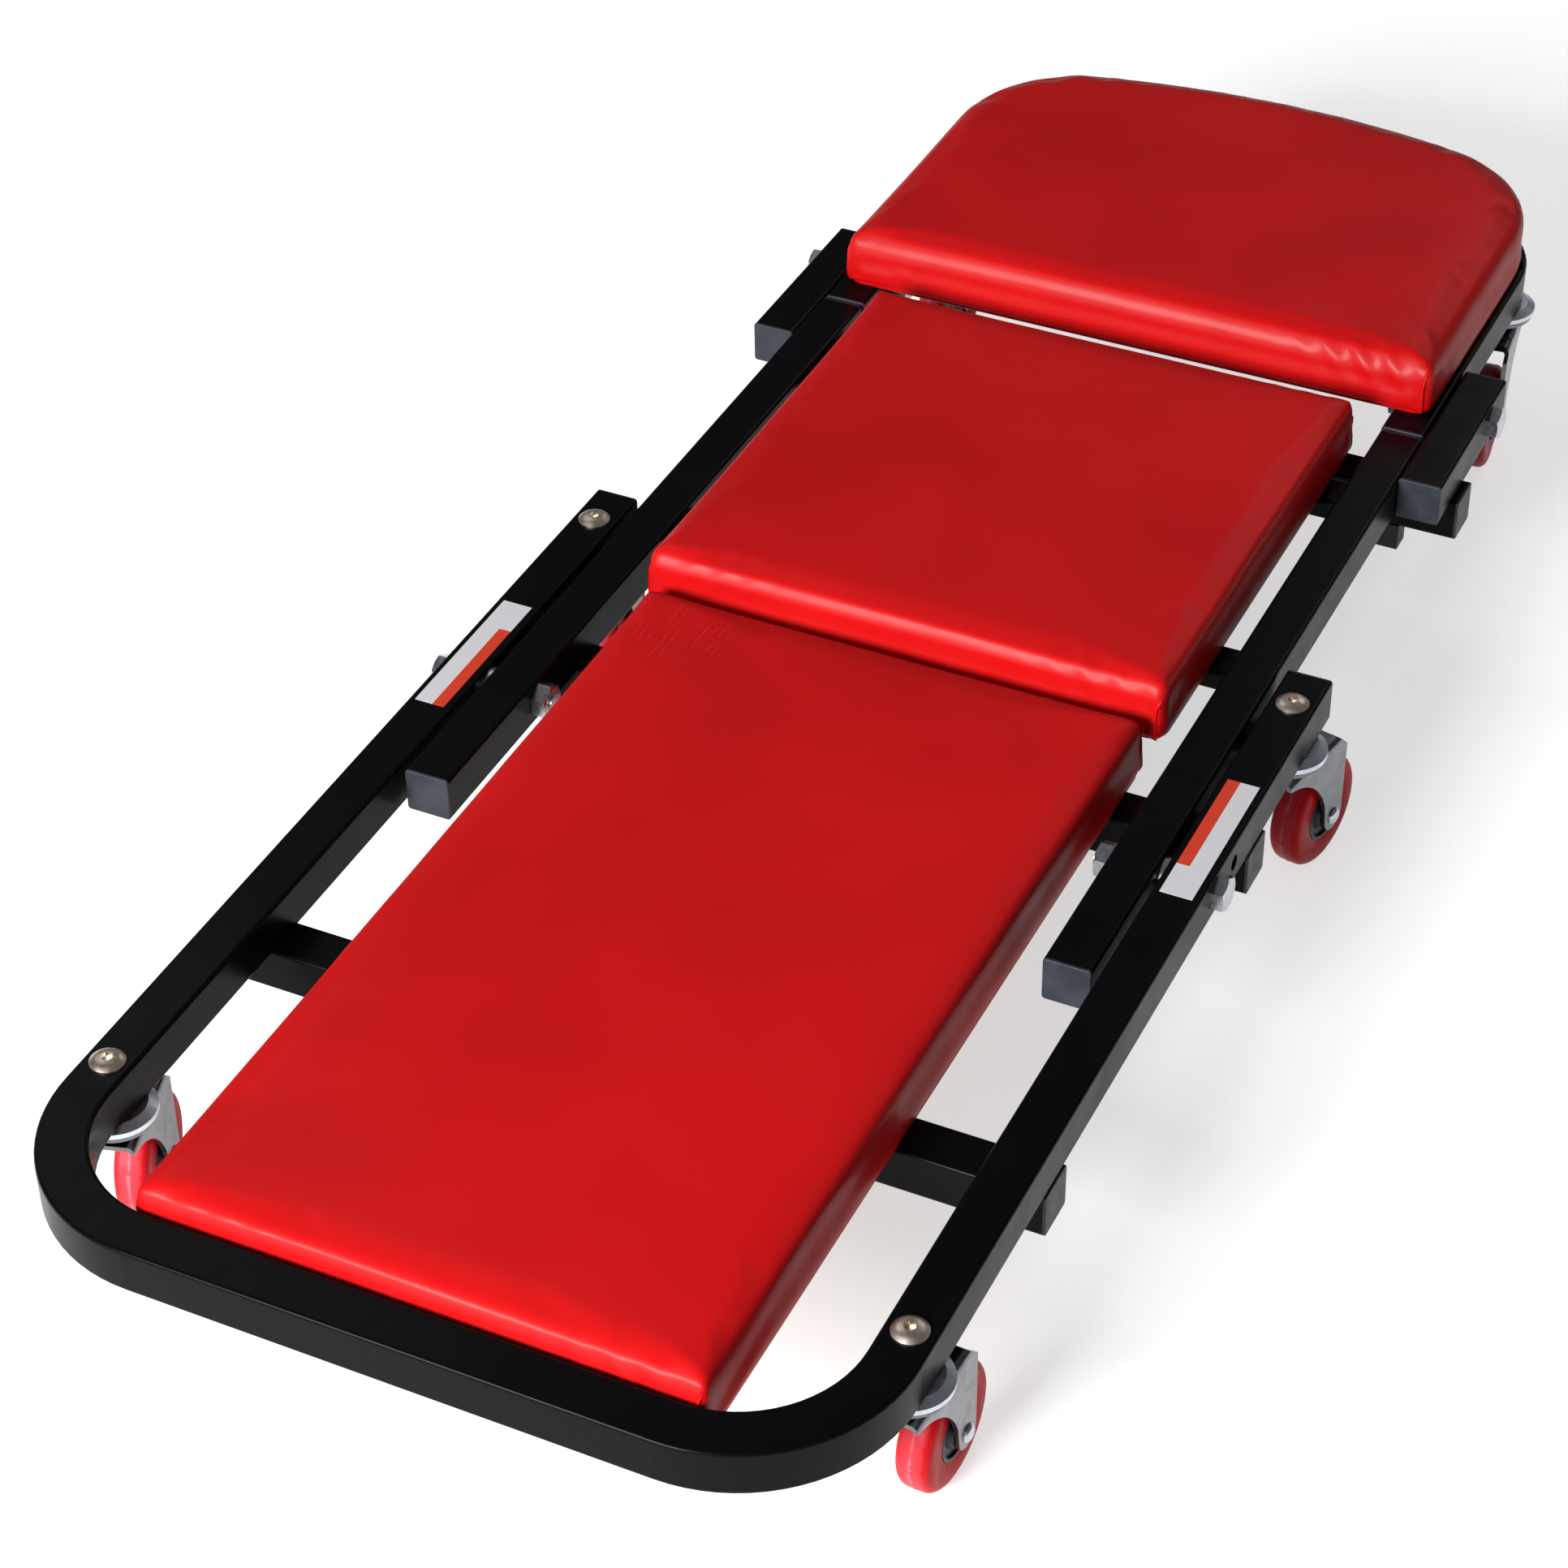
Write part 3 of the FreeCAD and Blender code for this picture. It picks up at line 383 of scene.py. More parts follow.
woodLook = {
    "stops": ((0.1, linear(196, 164, 120)), (0.55, linear(176, 140, 96)), (0.95, linear(150, 112, 72))),
    "grainScale": 28,
    "grainBend": 7,
    "grainDepth": 0.0003,
    "roughness": 0.7,
}


def makeWood():
    look = woodLook
    material, tree, shader, place = startMaterial("plywood")
    links = tree.links
    grain = tree.nodes.new("ShaderNodeTexWave")
    links.new(place, grain.inputs["Vector"])
    grain.bands_direction = "X"
    grain.inputs["Scale"].default_value = look["grainScale"]
    grain.inputs["Distortion"].default_value = look["grainBend"]
    grain.inputs["Detail"].default_value = 4
    grain.inputs["Detail Scale"].default_value = 1.1
    links.new(rampNode(tree, grain.outputs["Fac"], look["stops"]), shader.inputs["Base Color"])
    links.new(bumpNode(tree, grain.outputs["Fac"], 0.25, look["grainDepth"]), shader.inputs["Normal"])
    shader.inputs["Roughness"].default_value = look["roughness"]
    return material


stripLook = {
    "white": linear(228, 228, 232),
    "orange": linear(226, 62, 30),
    "width": 0.017,
    "orangeWidth": 0.0068,     # of that width, on the side towards the pads
    "orangeEnds": {"left": (-0.1683, -0.0960), "right": (-0.1292, -0.0567)},
    "polishScale": 150,
    "rippleScale": 60,
    "rippleDepth": 0.0003,
}


def makeStrip():
    # plain white film with an orange band, at the places the strips have on the side tubes
    look = stripLook
    material, tree, shader, place = startMaterial("stripFilm")
    links = tree.links
    low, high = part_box("side_strips")
    outer = max(abs(low.x), abs(high.x))
    inner = outer - look["width"]
    sideOn = axisValue(tree, place, "X")
    along = axisValue(tree, place, "Y")
    onInner = mathNode(tree, "LESS_THAN", mathNode(tree, "ABSOLUTE", sideOn), inner + look["orangeWidth"])
    onRight = mathNode(tree, "GREATER_THAN", sideOn, 0)
    bands = []
    for side in ("left", "right"):
        start, end = look["orangeEnds"][side]
        inside = mathNode(tree, "MULTIPLY", mathNode(tree, "GREATER_THAN", along, start),
                          mathNode(tree, "LESS_THAN", along, end))
        thisSide = onRight if side == "right" else mathNode(tree, "SUBTRACT", 1, onRight)
        bands.append(mathNode(tree, "MULTIPLY", inside, thisSide))
    band = mathNode(tree, "MULTIPLY", mathNode(tree, "MAXIMUM", bands[0], bands[1]), onInner)
    links.new(mixColour(tree, band, look["white"], look["orange"]), shader.inputs["Base Color"])
    rough = greyRamp(tree, noiseNode(tree, place, look["polishScale"]), [(0.3, 0.35), (0.7, 0.5)])
    links.new(rough, shader.inputs["Roughness"])
    ripples = noiseNode(tree, place, look["rippleScale"], detail=2)
    links.new(bumpNode(tree, ripples, 0.2, look["rippleDepth"]), shader.inputs["Normal"])
    return material


blackEnamel = makePaint()
capPlastic = makePlastic("capPlastic", linear(35, 40, 49), linear(54, 60, 70), (0.42, 0.58))
hubPlastic = makePlastic("hubPlastic", linear(24, 28, 31), linear(36, 41, 44), (0.4, 0.55))
blockRubber = makePlastic("blockRubber", linear(20, 20, 22), linear(30, 30, 33), (0.5, 0.65))
zincPlate = makeMetal("zincPlate", linear(196, 200, 206), linear(160, 162, 166), (0.2, 0.34))
nickelPlate = makeMetal("nickelPlate", linear(226, 212, 198), linear(188, 172, 156), (0.30, 0.44))
chromePlate = makeMetal("chromePlate", linear(120, 122, 126), linear(94, 96, 100), (0.16, 0.28),
                        markScale=90, markDepth=0.00012)
racePlate = makeMetal("racePlate", linear(214, 220, 230), linear(176, 182, 192), (0.34, 0.48))
redTread = makeTread()
plywood = makeWood()
stripFilm = makeStrip()
longVinyl = makeVinyl("longVinyl", scuffCentre=(-0.104, -0.072), scuffSize=(0.034, 0.028))
middleVinyl = makeVinyl("middleVinyl")
headVinyl = makeVinyl("headVinyl")
print("materials made")


finishOfNode = {
    "base_end_caps": capPlastic, "middle_end_caps": capPlastic, "head_end_caps": capPlastic,
    "fold_stop_blocks": blockRubber, "side_strips": stripFilm,
    "long_board": plywood, "middle_board": plywood, "head_board": plywood,
    "base_caster_bolts": nickelPlate, "head_caster_bolts": nickelPlate,
    "base_swivel_bearings": racePlate, "head_swivel_bearings": racePlate,
}
zincNodes = ("long_board_bolts", "middle_board_bolts", "head_board_bolts", "main_pivot_bolts",
             "main_pivot_nuts", "main_pivot_spacers", "head_pivot_bolts", "head_pivot_nuts",
             "base_caster_nuts", "head_caster_nuts")


def dressFrame():
    # CAD nodes whose shape is right keep it and get their finish
    for name, node in nodes.items():
        if name in finishOfNode:
            finish = finishOfNode[name]
        elif name in zincNodes or name.startswith("axle_"):
            finish = zincPlate
        elif name.startswith("fork_"):
            finish = chromePlate
        elif name.startswith("hub_"):
            finish = hubPlastic
        elif name.startswith("tyre_"):
            finish = redTread
        else:
            finish = blackEnamel
        node.data.materials.clear()
        node.data.materials.append(finish)


dressFrame()
print("frame dressed")


# Pads: foam under stretched vinyl. A slightly small block is remeshed, blown up as cloth and shaped

longPad = {
    "node": "long_pad", "board": "long_board", "body": "base", "material": longVinyl,
    "voxel": 0.0036, "cap": 0.0014, "crown": 0.0008, "over": 0.0012, "onward": 0,
    "rolls": {"near": (0.0095, 0.022), "side": (0.0050, 0.002), "far": (0.0050, 0.002)},
    "corners": (("near", 0.0050), ("far", 0.0060)),
    "pleats": (("near", 1, "end"), ("near", -1, "side"), ("far", 1, "side"), ("far", -1, "side")),
    "puckers": (("near", 1, 0.0004), ("near", -1, 0.0002)),
    "fill": 0.85,
}
middlePad = {
    "node": "middle_pad", "board": "middle_board", "body": "middle", "material": middleVinyl,
    "voxel": 0.0034, "cap": 0.0014, "crown": 0.0008, "over": 0.0026, "onward": 0.0065,
    "rolls": {"near": (0.0070, 0.020), "side": (0.0050, 0.002), "far": (0.0040, 0.001)},
    "corners": (("near", 0.0050), ("far", 0.0050)),
    "pleats": (("near", 1, "end"), ("near", -1, "side"), ("far", 1, "end"), ("far", -1, "side")),
    "puckers": (("near", 1, 0.0004), ("near", -1, 0.0002), ("far", 1, 0.0003)),
    "fill": 0.85,
}
headPad = {
    "node": "head_pad", "board": "head_board", "body": "head", "material": headVinyl,
    "voxel": 0.0034, "cap": 0.0016, "crown": 0.0012, "over": 0.0014, "onward": 0,
    "rolls": {"near": (0.0105, 0.024), "side": (0.0080, 0.010), "far": (0.0090, 0.010)},
    "corners": (("near", 0.0060),),
    "pleats": (("near", 1, "end"), ("near", -1, "side")),
    "puckers": (("near", 1, 0.0010),),
    "fill": 0.9,
}
padMaking = {
    "wallHeight": 0.003,       # the CAD pad's bottom rounding, which the cover doesn't have
    "cornerSteps": 6,
    "rollSteps": 7,
    "shoulderShares": (0.33, 0.66, 1),
    "sideShrink": 0.0008,      # the block starts this much inside the pad's sides
    "sideCap": 0.0009,         # and the cloth moves the sides out by this much at most
    "floorLift": 0.0006,       # keeps the foam's underside off the board's lower face
    "boardCover": 0.0020,      # least thickness of cover and foam beside the board
    "shoulderSlope": 0.20,     # where the roll ends and the gentler shoulder begins
    "pull": 0.0008,            # how far the middle of each side is drawn in
    "waver": 0.0004,           # unevenness of the foam under the vinyl
    "waverScale": (18, 18, 30),
    "aboveBoard": 0.003,       # the cover is held off the board's edge up to this height over the board
    "probeUnder": 0.002,
    "insideReach": 0.006,
}
clothLook = {
    "pressure": 4.0,
    "frames": 20,
    "quality": 5,
    "mass": 0.35,
    "stretch": 12,
    "shear": 5,
    "bend": 0.6,
    "pinHeight": 0.001,        # the cover is held to the board up to this height
}
pleatShape = {
    "reachIn": 0.009,          # centre of the fan of rays, from both faces of the corner
    "openAt": 0.0035,          # the flap's open edge, from the corner, at the bottom
    "openLean": 0.0020,        # and this much more at the top
    "tucked": {"end": 0.72, "side": -0.30},    # angle from the corner where the flap ends
    "top": 0.72,               # of the pad's height
    "foot": 0.0012,
    "thick": 0.0014,
    "clear": 0.00008,
    "castFrom": 0.08,
    "columns": 12,
    "rows": 12,
}
puckerShape = {
    "spacing": 0.0185,
    "slant": 0.8,              # leans towards the corner's foot
    "centre": 0.040,           # from the corner
    "spread": 0.034,
    "reach": 0.12,
    "depth": 0.03,
    "boost": 1.5,
}


def outlineOf(points):
    # the points' outer ring in order, each point with its outward direction
    ring = [points[index] for index in geometry.convex_hull_2d(points)]
    middle = sum(ring, Vector((0, 0))) / len(ring)
    outline = []
    for place, here in enumerate(ring):
        before, after = ring[place - 1], ring[(place + 1) % len(ring)]
        outward = Vector((0, 0))
        for start, end in ((before, here), (here, after)):
            along = (end - start).normalized()
            across = Vector((along.y, -along.x))
            outward += across if across.dot(here - middle) > 0 else -across
        outline.append((here, outward.normalized()))
    return outline


def pointsAtHeight(name, height):
    return [Vector((v.co.x, v.co.y)) for v in nodes[name].data.vertices if abs(v.co.z - height) < 0.0001]


def coverOutline(settings):
    # the CAD pad's outline in plan with tighter corners
    making = padMaking
    low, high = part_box(settings["node"])
    points = pointsAtHeight(settings["node"], low.z + making["wallHeight"])
    for end, radius in settings["corners"]:
        way = -1 if end == "near" else 1
        centreY = low.y + radius if end == "near" else high.y - radius
        for step in range(making["cornerSteps"] + 1):
            angle = math.pi / 2 * step / making["cornerSteps"]
            for side in (-1, 1):
                centreX = (high.x if side > 0 else low.x) - side * radius
                points.append(Vector((centreX + side * radius * math.cos(angle),
                                      centreY + way * radius * math.sin(angle))))
    return outlineOf(points)


def padBlock(settings):
    # upright sides down to the board's lower face, a soft roll along the near edge, tight rolls elsewhere
    making = padMaking
    low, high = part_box(settings["node"])
    rolls = settings["rolls"]
    outline = coverOutline(settings)
    topEdge = high.z - settings["cap"] / 2
    bm = bmesh.new()

    def addPoint(flat, height):
        bm.verts.new((flat.x, flat.y, height))

    for point, outward in outline:
        end = rolls["near"] if outward.y < 0 else rolls["far"]
        roll, shoulder = (side + (ending - side) * outward.y ** 2
                          for side, ending in zip(rolls["side"], end))
        slope = making["shoulderSlope"]
        drop = roll + shoulder * math.tan(slope) / 2
        inner = point - outward * making["sideShrink"]
        addPoint(inner, low.z + making["floorLift"])
        addPoint(inner, low.z + making["wallHeight"] * 2)
        for step in range(making["rollSteps"] + 1):
            angle = (math.pi / 2 - slope) * step / making["rollSteps"]
            addPoint(inner - outward * roll * (1 - math.cos(angle)),
                     topEdge - drop + roll * math.sin(angle))
        for share in making["shoulderShares"]:
            addPoint(inner - outward * (roll + shoulder * share),
                     topEdge - shoulder * math.tan(slope) / 2 * (1 - share) ** 2)
    hull = bmesh.ops.convex_hull(bm, input=bm.verts)
    leftOver = set(hull["geom_interior"] + hull["geom_unused"])
    spare = [element for element in leftOver if isinstance(element, bmesh.types.BMVert)]
    bmesh.ops.delete(bm, geom=spare, context="VERTS")
    bmesh.ops.recalc_face_normals(bm, faces=bm.faces)
    return newObject(settings["node"] + "_cover", bm, settings["material"])


def voxelRemesh(piece, size):
    remesh = piece.modifiers.new("even", "REMESH")
    remesh.mode = "VOXEL"
    remesh.voxel_size = size
    remesh.adaptivity = 0
    applyModifiers(piece)


def blowUp(piece, settings):
    # cloth under pressure, without gravity, and each point moves no further than the cap
    making = padMaking
    look = clothLook
    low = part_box(settings["node"])[0]
    resting = [(v.co.copy(), max(v.normal.z, 0)) for v in piece.data.vertices]
    pinned = piece.vertex_groups.new(name="onBoard")
    floor = low.z + making["floorLift"] + look["pinHeight"]
    pinned.add([v.index for v in piece.data.vertices if v.co.z < floor], 1, "REPLACE")
    cloth = piece.modifiers.new("vinyl", "CLOTH")
    cloth.settings.quality = look["quality"]
    cloth.settings.mass = look["mass"]
    cloth.settings.tension_stiffness = look["stretch"]
    cloth.settings.compression_stiffness = look["stretch"]
    cloth.settings.shear_stiffness = look["shear"]
    cloth.settings.bending_stiffness = look["bend"]
    cloth.settings.use_pressure = True
    cloth.settings.uniform_pressure_force = look["pressure"]
    cloth.settings.vertex_group_mass = "onBoard"
    cloth.settings.effector_weights.gravity = 0
    cloth.collision_settings.use_collision = False
    cloth.collision_settings.use_self_collision = False
    scene = bpy.context.scene
    for step in range(1, look["frames"] + 1):
        scene.frame_set(step)
    applyModifiers(piece)
    scene.frame_set(1)
    piece.vertex_groups.clear()
    for vertex, (start, upward) in zip(piece.data.vertices, resting):
        cap = making["sideCap"] + (settings["cap"] - making["sideCap"]) * upward
        moved = vertex.co - start
        if moved.length > cap:
            moved.length = cap
        vertex.co = start + moved
        vertex.co.z = max(vertex.co.z, low.z + making["floorLift"])


def shapePad(piece, settings):
    # crown, drawn-in sides and small puckers beside the corners
    low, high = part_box(settings["node"])
    making = padMaking
    midX, midY = (low.x + high.x) / 2, (low.y + high.y) / 2
    halfX, halfY = (high.x - low.x) / 2, (high.y - low.y) / 2
    thickness = high.z - low.z
    shape = puckerShape
    puckers = []
    for end, side, size in settings["puckers"]:
        corner = Vector((midX + side * halfX, high.y if end == "far" else low.y, low.z))
        puckers.append((corner, size))
    scaleX, scaleY, scaleZ = making["waverScale"]
    normals = [v.normal.copy() for v in piece.data.vertices]
    for vertex, normal in zip(piece.data.vertices, normals):
        co = vertex.co
        shareX = min(abs(co.x - midX) / halfX, 1)
        shareY = min(abs(co.y - midY) / halfY, 1)
        rise = (co.z - low.z) / thickness
        co.z += settings["crown"] * (1 - shareX ** 4) * (1 - shareY ** 4) * rise ** 2
        lift = min(rise * 4, 1)
        co.x -= math.copysign(making["pull"], co.x - midX) * (1 - shareY ** 2) * shareX ** 6 * lift
        co.y -= math.copysign(making["pull"], co.y - midY) * (1 - shareX ** 2) * shareY ** 6 * lift
        if abs(normal.z) < 0.92 or rise > 0.5:
            waver = noise.noise(Vector((co.x * scaleX, co.y * scaleY, co.z * scaleZ)))
            co += normal * (waver * making["waver"] * (1 - abs(normal.z) * 0.6))
        facing = min(abs(normal.y) * 1.6, 1)
        if facing > 0.1:
            for corner, size in puckers:
                reach = abs(co.x - corner.x)
                if reach < shape["reach"] and abs(co.y - corner.y) < shape["depth"]:
                    fade = math.exp(-((reach - shape["centre"]) / shape["spread"]) ** 2)
                    phase = reach - (co.z - low.z) * shape["slant"]
                    ridge = (0.5 + 0.5 * math.sin(phase / shape["spacing"] * math.tau)) ** 2 - 0.4
                    co += normal * (size * shape["boost"] * ridge * fade * facing * min(rise * 1.6, 1))
        co.z = max(co.z, low.z + making["floorLift"])


def fitToSpace(piece, settings):
    # the finished cover fills the CAD pad's space and hides the board's edge all round
    low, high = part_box(settings["node"])
    making = padMaking
    floor = low.z + making["floorLift"]
    vertices = piece.data.vertices
    for axis in (0, 1, 2):
        values = [v.co[axis] for v in vertices]
        least, most = min(values), max(values)
        goalLow = floor if axis == 2 else low[axis]
        goalHigh = high[axis] + (0, settings["onward"], settings["over"])[axis]
        for v in vertices:
            v.co[axis] = goalLow + (v.co[axis] - least) / (most - least) * (goalHigh - goalLow)
    board = bmesh.new()
    board.from_mesh(nodes[settings["board"]].data)
    edge = BVHTree.FromBMesh(board)
    board.free()
    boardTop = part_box(settings["board"])[1].z
    for v in vertices:
        if v.co.z > boardTop + making["aboveBoard"]:
            continue
        probe = Vector((v.co.x, v.co.y, min(v.co.z, boardTop - making["probeUnder"])))
        spot, normal, index, distance = edge.find_nearest(probe)
        if abs(normal.z) > 0.3:
            continue
        clear = (probe - spot).dot(normal)
        if -making["insideReach"] < clear < making["boardCover"] and v.normal.z > -0.9:
            v.co += normal * (making["boardCover"] - clear)


def addPleats(piece, settings):
    # a folded flap beside each corner: a strip that lies on the cover and ends in a sharp step
    low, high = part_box(settings["node"])
    bm = bmesh.new()
    bm.from_mesh(piece.data)
    surface = BVHTree.FromBMesh(bm)
    bm.free()
    shape = pleatShape
    reachIn = shape["reachIn"]
    for end, side, openOn in settings["pleats"]:
        way = 1 if end == "far" else -1
        cornerX = high.x if side > 0 else low.x
        cornerY = high.y if end == "far" else low.y
        pivot = Vector((cornerX - side * reachIn, cornerY - way * reachIn, 0))
        flap = bmesh.new()
        bmesh.ops.create_grid(flap, x_segments=shape["columns"], y_segments=shape["rows"], size=0.5)
        for v in flap.verts:
            around = v.co.x + 0.5
            up = v.co.y + 0.5
            height = low.z + padMaking["floorLift"] + shape["foot"] + up * (high.z - low.z) * shape["top"]
            # from the open edge beside the corner to where the flap is tucked under
            fromCorner = shape["openAt"] + shape["openLean"] * up
            openAngle = math.atan2(reachIn, reachIn - fromCorner) - math.pi / 4
            angle = (openAngle * (1 - around) + shape["tucked"][openOn] * around) * (1 - up ** 5)
            if openOn == "side":
                angle = -angle
            heading = Vector((side * math.cos(math.pi / 4 + angle), way * math.sin(math.pi / 4 + angle), 0))
            start = Vector((pivot.x, pivot.y, height)) + heading * shape["castFrom"]
            hit, normal, index, distance = surface.ray_cast(start, -heading)
            if hit is None:
                hit, normal = Vector((pivot.x, pivot.y, height)) + heading * reachIn, heading
            thick = shape["thick"] * (1 - around) ** 0.7 * (1 - up ** 6)
            if around < 0.001:
                thick = -shape["thick"] / 2
            v.co = hit + normal * (thick + shape["clear"])
        bmesh.ops.recalc_face_normals(flap, faces=flap.faces)
        for face in flap.faces:
            face.smooth = True
        probe = flap.faces[len(flap.faces) // 2]
        centre = probe.calc_center_median()
        outward = centre - Vector((pivot.x, pivot.y, centre.z))
        if probe.normal.dot(outward) < 0:
            bmesh.ops.reverse_faces(flap, faces=flap.faces)
        joinInto(piece, newObject("flap", flap))


hemShape = {
    # how far inside the board's outline and how far under the board each line of the hem runs
    "profile": ((-0.0014, -0.0036), (-0.0022, -0.0006), (-0.0016, 0.0003), (0.0002, 0.0007),
                (0.024, 0.0007), (0.0248, 0.0001)),
    "uneven": 0.0022,          # of the inner edge, which is cut by hand
    "unevenScale": 28,
    "cutFrom": 0.010,
}
stapleShape = {
    "length": 0.010,
    "wire": 0.0007,
    "edge": 0.00018,
    "fromEdge": 0.013,
    "spacing": 0.038,
    "under": 0.0008,
    "lean": 0.25,
}


def addHem(piece, settings):
    # the cover's edge, turned in under the board
    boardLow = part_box(settings["board"])[0]
    outline = outlineOf(pointsAtHeight(settings["board"], boardLow.z))
    hem = bmesh.new()
    lastEdges = []
    for inset, drop in hemShape["profile"]:
        verts = []
        for here, outward in outline:
            spot = Vector((here.x, here.y, boardLow.z - drop))
            uneven = 0
            if inset > hemShape["cutFrom"]:
                uneven = noise.noise(spot * hemShape["unevenScale"]) * hemShape["uneven"]
            verts.append(hem.verts.new(spot - outward.to_3d() * (inset + uneven)))
        edges = [hem.edges.new((a, b)) for a, b in zip(verts, verts[1:] + verts[:1])]
        if lastEdges:
            bmesh.ops.bridge_loops(hem, edges=lastEdges + edges)
        lastEdges = edges
    bmesh.ops.recalc_face_normals(hem, faces=hem.faces)
    if sum(f.normal.z * f.calc_area() for f in hem.faces) > 0:
        bmesh.ops.reverse_faces(hem, faces=hem.faces)
    for face in hem.faces:
        face.smooth = True
    joinInto(piece, newObject("hem", hem))
    return outline


def addStaples(settings, outline):
    # thin wire staples along the hem
    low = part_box(settings["board"])[0]
    shape = stapleShape
    bm = bmesh.new()
    travelled = 0
    nextAt = shape["spacing"] / 2
    for place, (here, outward) in enumerate(outline):
        after = outline[(place + 1) % len(outline)][0]
        step = (after - here).length
        along = (after - here).normalized()
        inward = Vector((-along.y, along.x))
        if inward.dot(outward) > 0:
            inward = -inward
        while nextAt < travelled + step:
            spot = here.lerp(after, (nextAt - travelled) / step) + inward * shape["fromEdge"]
            made = bmesh.ops.create_cube(bm, size=1)
            lean = noise.noise(spot.to_3d() * 90) * shape["lean"]
            turn = Matrix.Rotation(math.atan2(along.y, along.x) + lean, 4, "Z")
            grow = Matrix.Diagonal((shape["length"], shape["wire"] * 1.6, shape["wire"], 1))
            move = Matrix.Translation((spot.x, spot.y, low.z - shape["under"]))
            bmesh.ops.transform(bm, matrix=move @ turn @ grow, verts=made["verts"])
            nextAt += shape["spacing"]
        travelled += step
    bmesh.ops.bevel(bm, geom=bm.edges[:], offset=shape["edge"], segments=1, profile=0.5, affect="EDGES",
                    material=-1)
    staples = newObject(settings["node"].replace("pad", "staples"), bm, zincPlate)
    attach(staples, settings["body"])


def makePad(settings):
    piece = padBlock(settings)
    voxelRemesh(piece, settings["voxel"])
    blowUp(piece, settings)
    shapePad(piece, settings)
    fitToSpace(piece, settings)
    smoother = piece.modifiers.new("smooth", "SUBSURF")
    smoother.levels = 1
    smoother.render_levels = 1
    applyModifiers(piece)
    smoothShade(piece)
    addPleats(piece, settings)
    outline = addHem(piece, settings)
    addStaples(settings, outline)
    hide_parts(settings["node"])
    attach(piece, settings["body"])
    triangles = sum(len(p.vertices) - 2 for p in piece.data.polygons)
    print("pad made:", settings["node"], triangles, "triangles")


for settings in (longPad, middlePad, headPad):
    makePad(settings)


# Wheels: the moulded treads, with a flash line round the middle and a painted highlight along it

treadShape = {
    "steps": 72,
    "shoulder": 0.0050,
    "shoulderSteps": 6,
    "flash": 0.00025,
    "flashHalfWidth": 0.0006,
    "bore": 0.0161,
    "boreEdge": (0.0006, 0.0004),
    "halfWidth": 0.00875,
    "sharpAngle": 50,
}


def axleFrame(name):
    # centre of the wheel and the direction of its axle, from its joint
    for joint in frame["joints"]:
        if joint["name"] == "wheel_" + name:
            return Vector(joint["pos_m"]), Vector(joint["axis"]).normalized()
    raise ValueError(name)


def makeTreadPiece(name):
    centre, axle = axleFrame(name)
    low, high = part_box("tyre_" + name)
    radius = (high.z - low.z) / 2
    shape = treadShape
    halfWidth = shape["halfWidth"]
    outwards, inwards = shape["boreEdge"]
    profile = [(shape["bore"], -halfWidth + inwards), (shape["bore"] + outwards, -halfWidth)]
    for step in range(shape["shoulderSteps"] + 1):
        angle = math.pi / 2 * step / shape["shoulderSteps"]
        profile.append((radius - shape["shoulder"] * (1 - math.sin(angle)),
                        -halfWidth + shape["shoulder"] * (1 - math.cos(angle))))
    profile += [(radius, -shape["flashHalfWidth"]), (radius + shape["flash"], 0)]
    profile += [(r, -across) for r, across in reversed(profile[:-1])]
    bm = bmesh.new()
    ring = [bm.verts.new((across, 0, r)) for r, across in profile]
    edges = [bm.edges.new((a, b)) for a, b in zip(ring, ring[1:] + ring[:1])]
    bmesh.ops.spin(bm, geom=ring + edges, cent=(0, 0, 0), axis=(1, 0, 0), angle=math.tau,
                   steps=shape["steps"], use_merge=True)
    bmesh.ops.remove_doubles(bm, verts=bm.verts, dist=0.00001)
    bmesh.ops.recalc_face_normals(bm, faces=bm.faces)
    acrossLayer = bm.verts.layers.float.new("across")
    for v in bm.verts:
        v[acrossLayer] = v.co.x / halfWidth
    turn = Vector((1, 0, 0)).rotation_difference(axle).to_matrix().to_4x4()
    bmesh.ops.transform(bm, matrix=Matrix.Translation(centre) @ turn, verts=bm.verts)
    piece = newObject("tread_" + name, bm, redTread)
    smoothShade(piece, shape["sharpAngle"])
    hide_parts("tyre_" + name)
    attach(piece, "wheel_" + name)


for name in casterNames:
    makeTreadPiece(name)
print("treads made")


# Stage, light and camera

stage = {
    "floorHalf": 12,
    "floorColour": linear(236, 236, 236),
    "glow": 0.62,
    "worldColour": (0.92, 0.93, 0.95, 1),
    "worldStrength": 0.12,
    "lamps": (
        # name, place, width, height, watts
        ("key", (-0.75, -3.40, 1.65), 1.6, 1.0, 205),
        ("fill", (-2.0, 1.0, 2.6), 1.6, 1.6, 7),
        ("rear", (0.4, 2.9, 2.1), 1.8, 0.8, 6),
    ),
    "aim": (0, 0, 0.1),
}


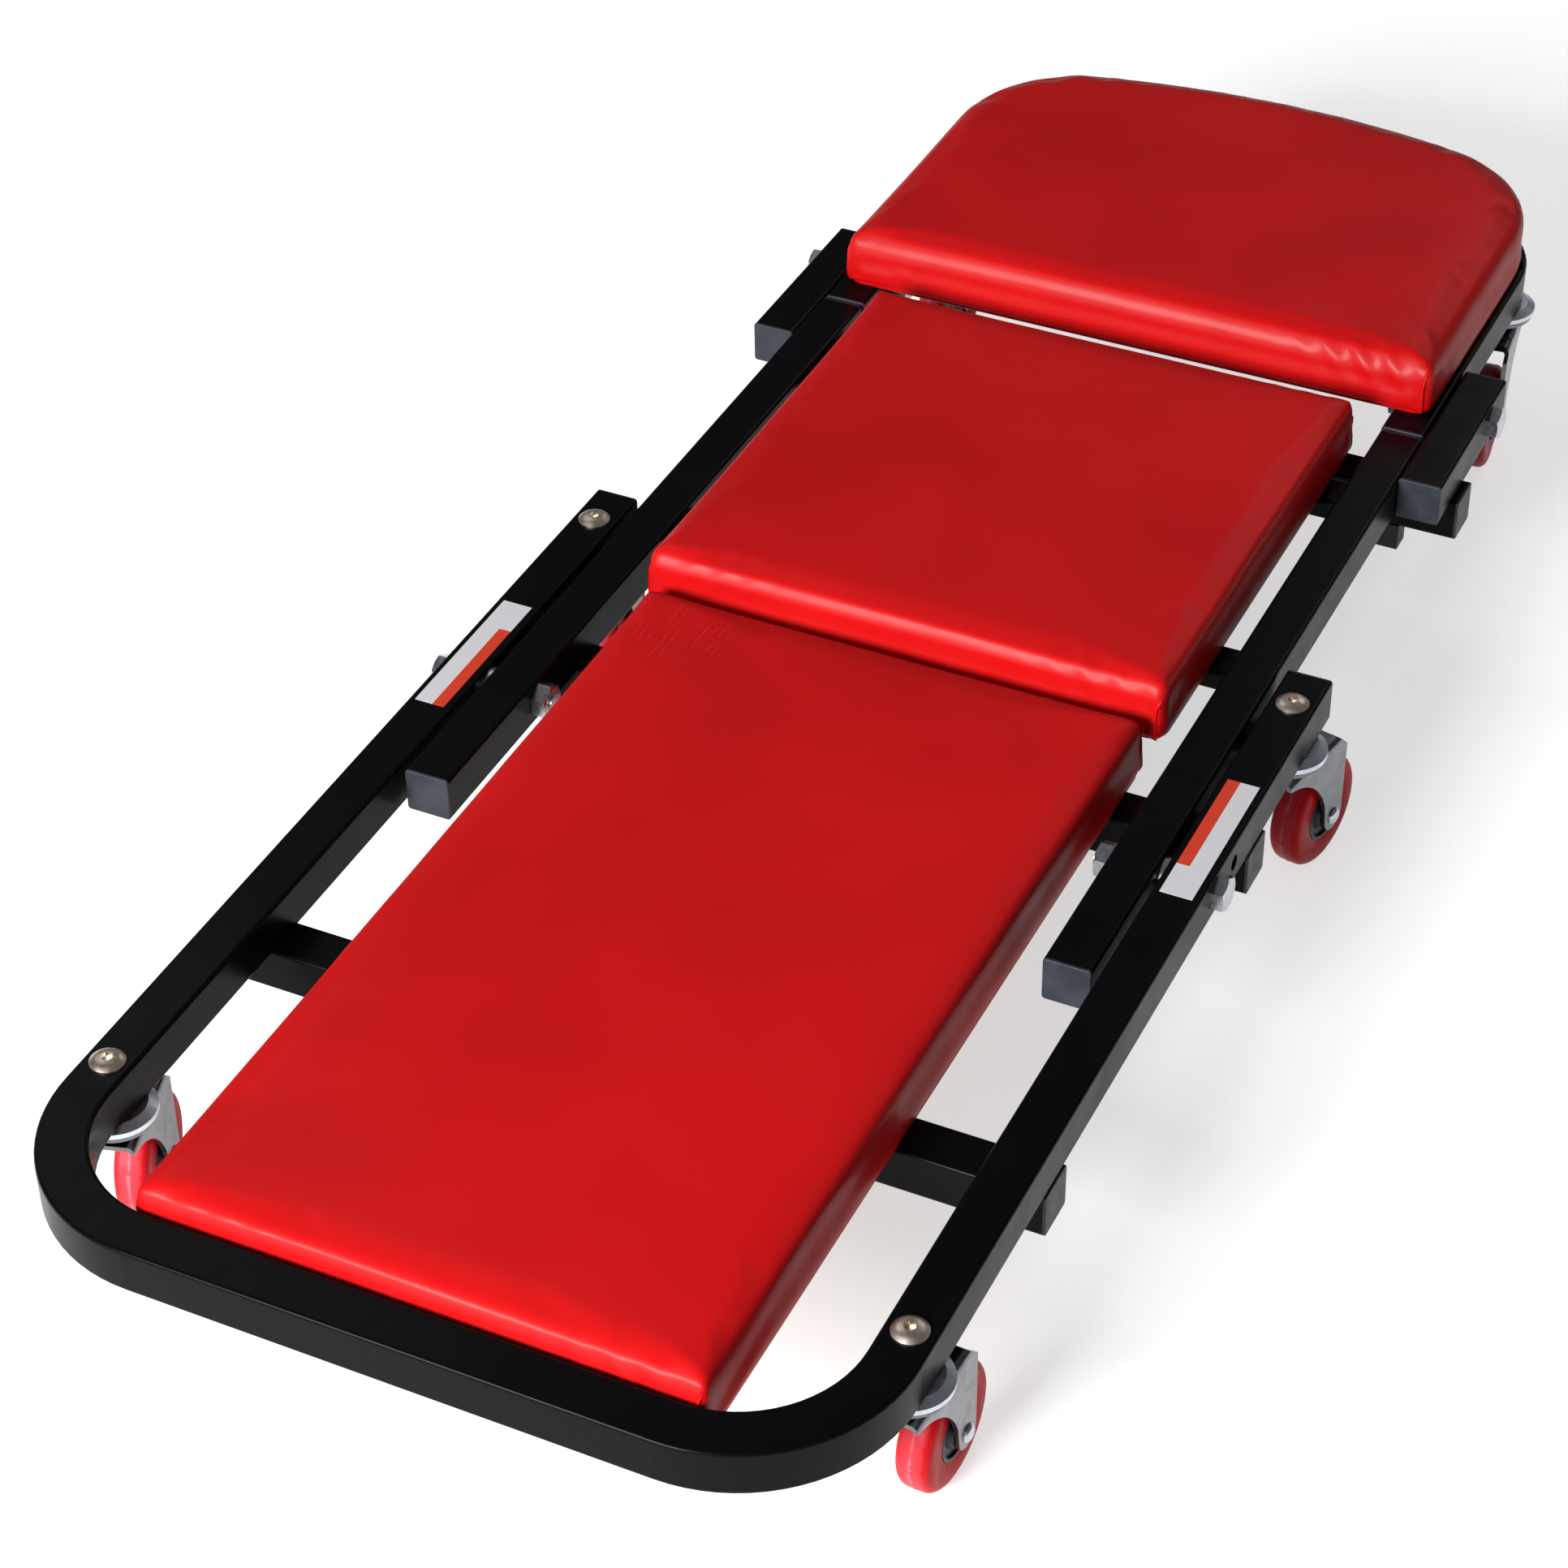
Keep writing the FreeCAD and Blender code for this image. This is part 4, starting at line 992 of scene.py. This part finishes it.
def makeFloor():
    bm = bmesh.new()
    bmesh.ops.create_grid(bm, x_segments=1, y_segments=1, size=stage["floorHalf"])
    floor = newObject("floor", bm)
    material = bpy.data.materials.new("paleFloor")
    material.use_nodes = True
    tree = material.node_tree
    tree.nodes.remove(tree.nodes["Principled BSDF"])
    output = tree.nodes["Material Output"]
    diffuse = tree.nodes.new("ShaderNodeBsdfDiffuse")
    diffuse.inputs["Color"].default_value = stage["floorColour"]
    glow = tree.nodes.new("ShaderNodeEmission")
    rays = tree.nodes.new("ShaderNodeLightPath")
    seen = mathNode(tree, "MAXIMUM", rays.outputs["Is Camera Ray"], rays.outputs["Is Glossy Ray"])
    seen = mathNode(tree, "MAXIMUM", seen, rays.outputs["Is Transmission Ray"])
    tree.links.new(mathNode(tree, "MULTIPLY", seen, stage["glow"]), glow.inputs["Strength"])
    both = tree.nodes.new("ShaderNodeAddShader")
    tree.links.new(diffuse.outputs["BSDF"], both.inputs[0])
    tree.links.new(glow.outputs["Emission"], both.inputs[1])
    tree.links.new(both.outputs["Shader"], output.inputs["Surface"])
    floor.data.materials.append(material)


def makeWorld():
    world = bpy.data.worlds.new("studio")
    world.use_nodes = True
    bpy.context.scene.world = world
    background = world.node_tree.nodes["Background"]
    background.inputs["Color"].default_value = stage["worldColour"]
    background.inputs["Strength"].default_value = stage["worldStrength"]


def makeLamps():
    for name, place, width, height, watts in stage["lamps"]:
        lamp = bpy.data.lights.new(name, "AREA")
        lamp.shape = "RECTANGLE"
        lamp.size = width
        lamp.size_y = height
        lamp.energy = watts
        holder = bpy.data.objects.new(name, lamp)
        bpy.context.scene.collection.objects.link(holder)
        holder.location = place
        aim = Vector(stage["aim"]) - Vector(place)
        holder.rotation_euler = aim.to_track_quat("-Z", "Y").to_euler()


viewpoint = {
    "place": (0.654157, -1.510175, 1.318320),
    "looking": (-0.34300548, 0.70418192, -0.62167118),
    "right": (0.90312619, 0.42920391, -0.01212795),
    "focalPixels": 4720.14,
    "framePixels": 1932,
    "sensorWidth": 36,
}


def makeCamera():
    look = viewpoint
    data = bpy.data.cameras.new("camera")
    data.sensor_width = look["sensorWidth"]
    data.lens = data.sensor_width * look["focalPixels"] / look["framePixels"]
    camera = bpy.data.objects.new("camera", data)
    bpy.context.scene.collection.objects.link(camera)
    back = -Vector(look["looking"]).normalized()
    right = Vector(look["right"]).normalized()
    up = back.cross(right).normalized()
    turn = Matrix((right, up, back)).transposed().to_4x4()
    camera.matrix_world = Matrix.Translation(look["place"]) @ turn
    bpy.context.scene.camera = camera


makeFloor()
makeWorld()
makeLamps()
makeCamera()
bpy.context.scene.view_settings.view_transform = "Standard"
print("stage set")
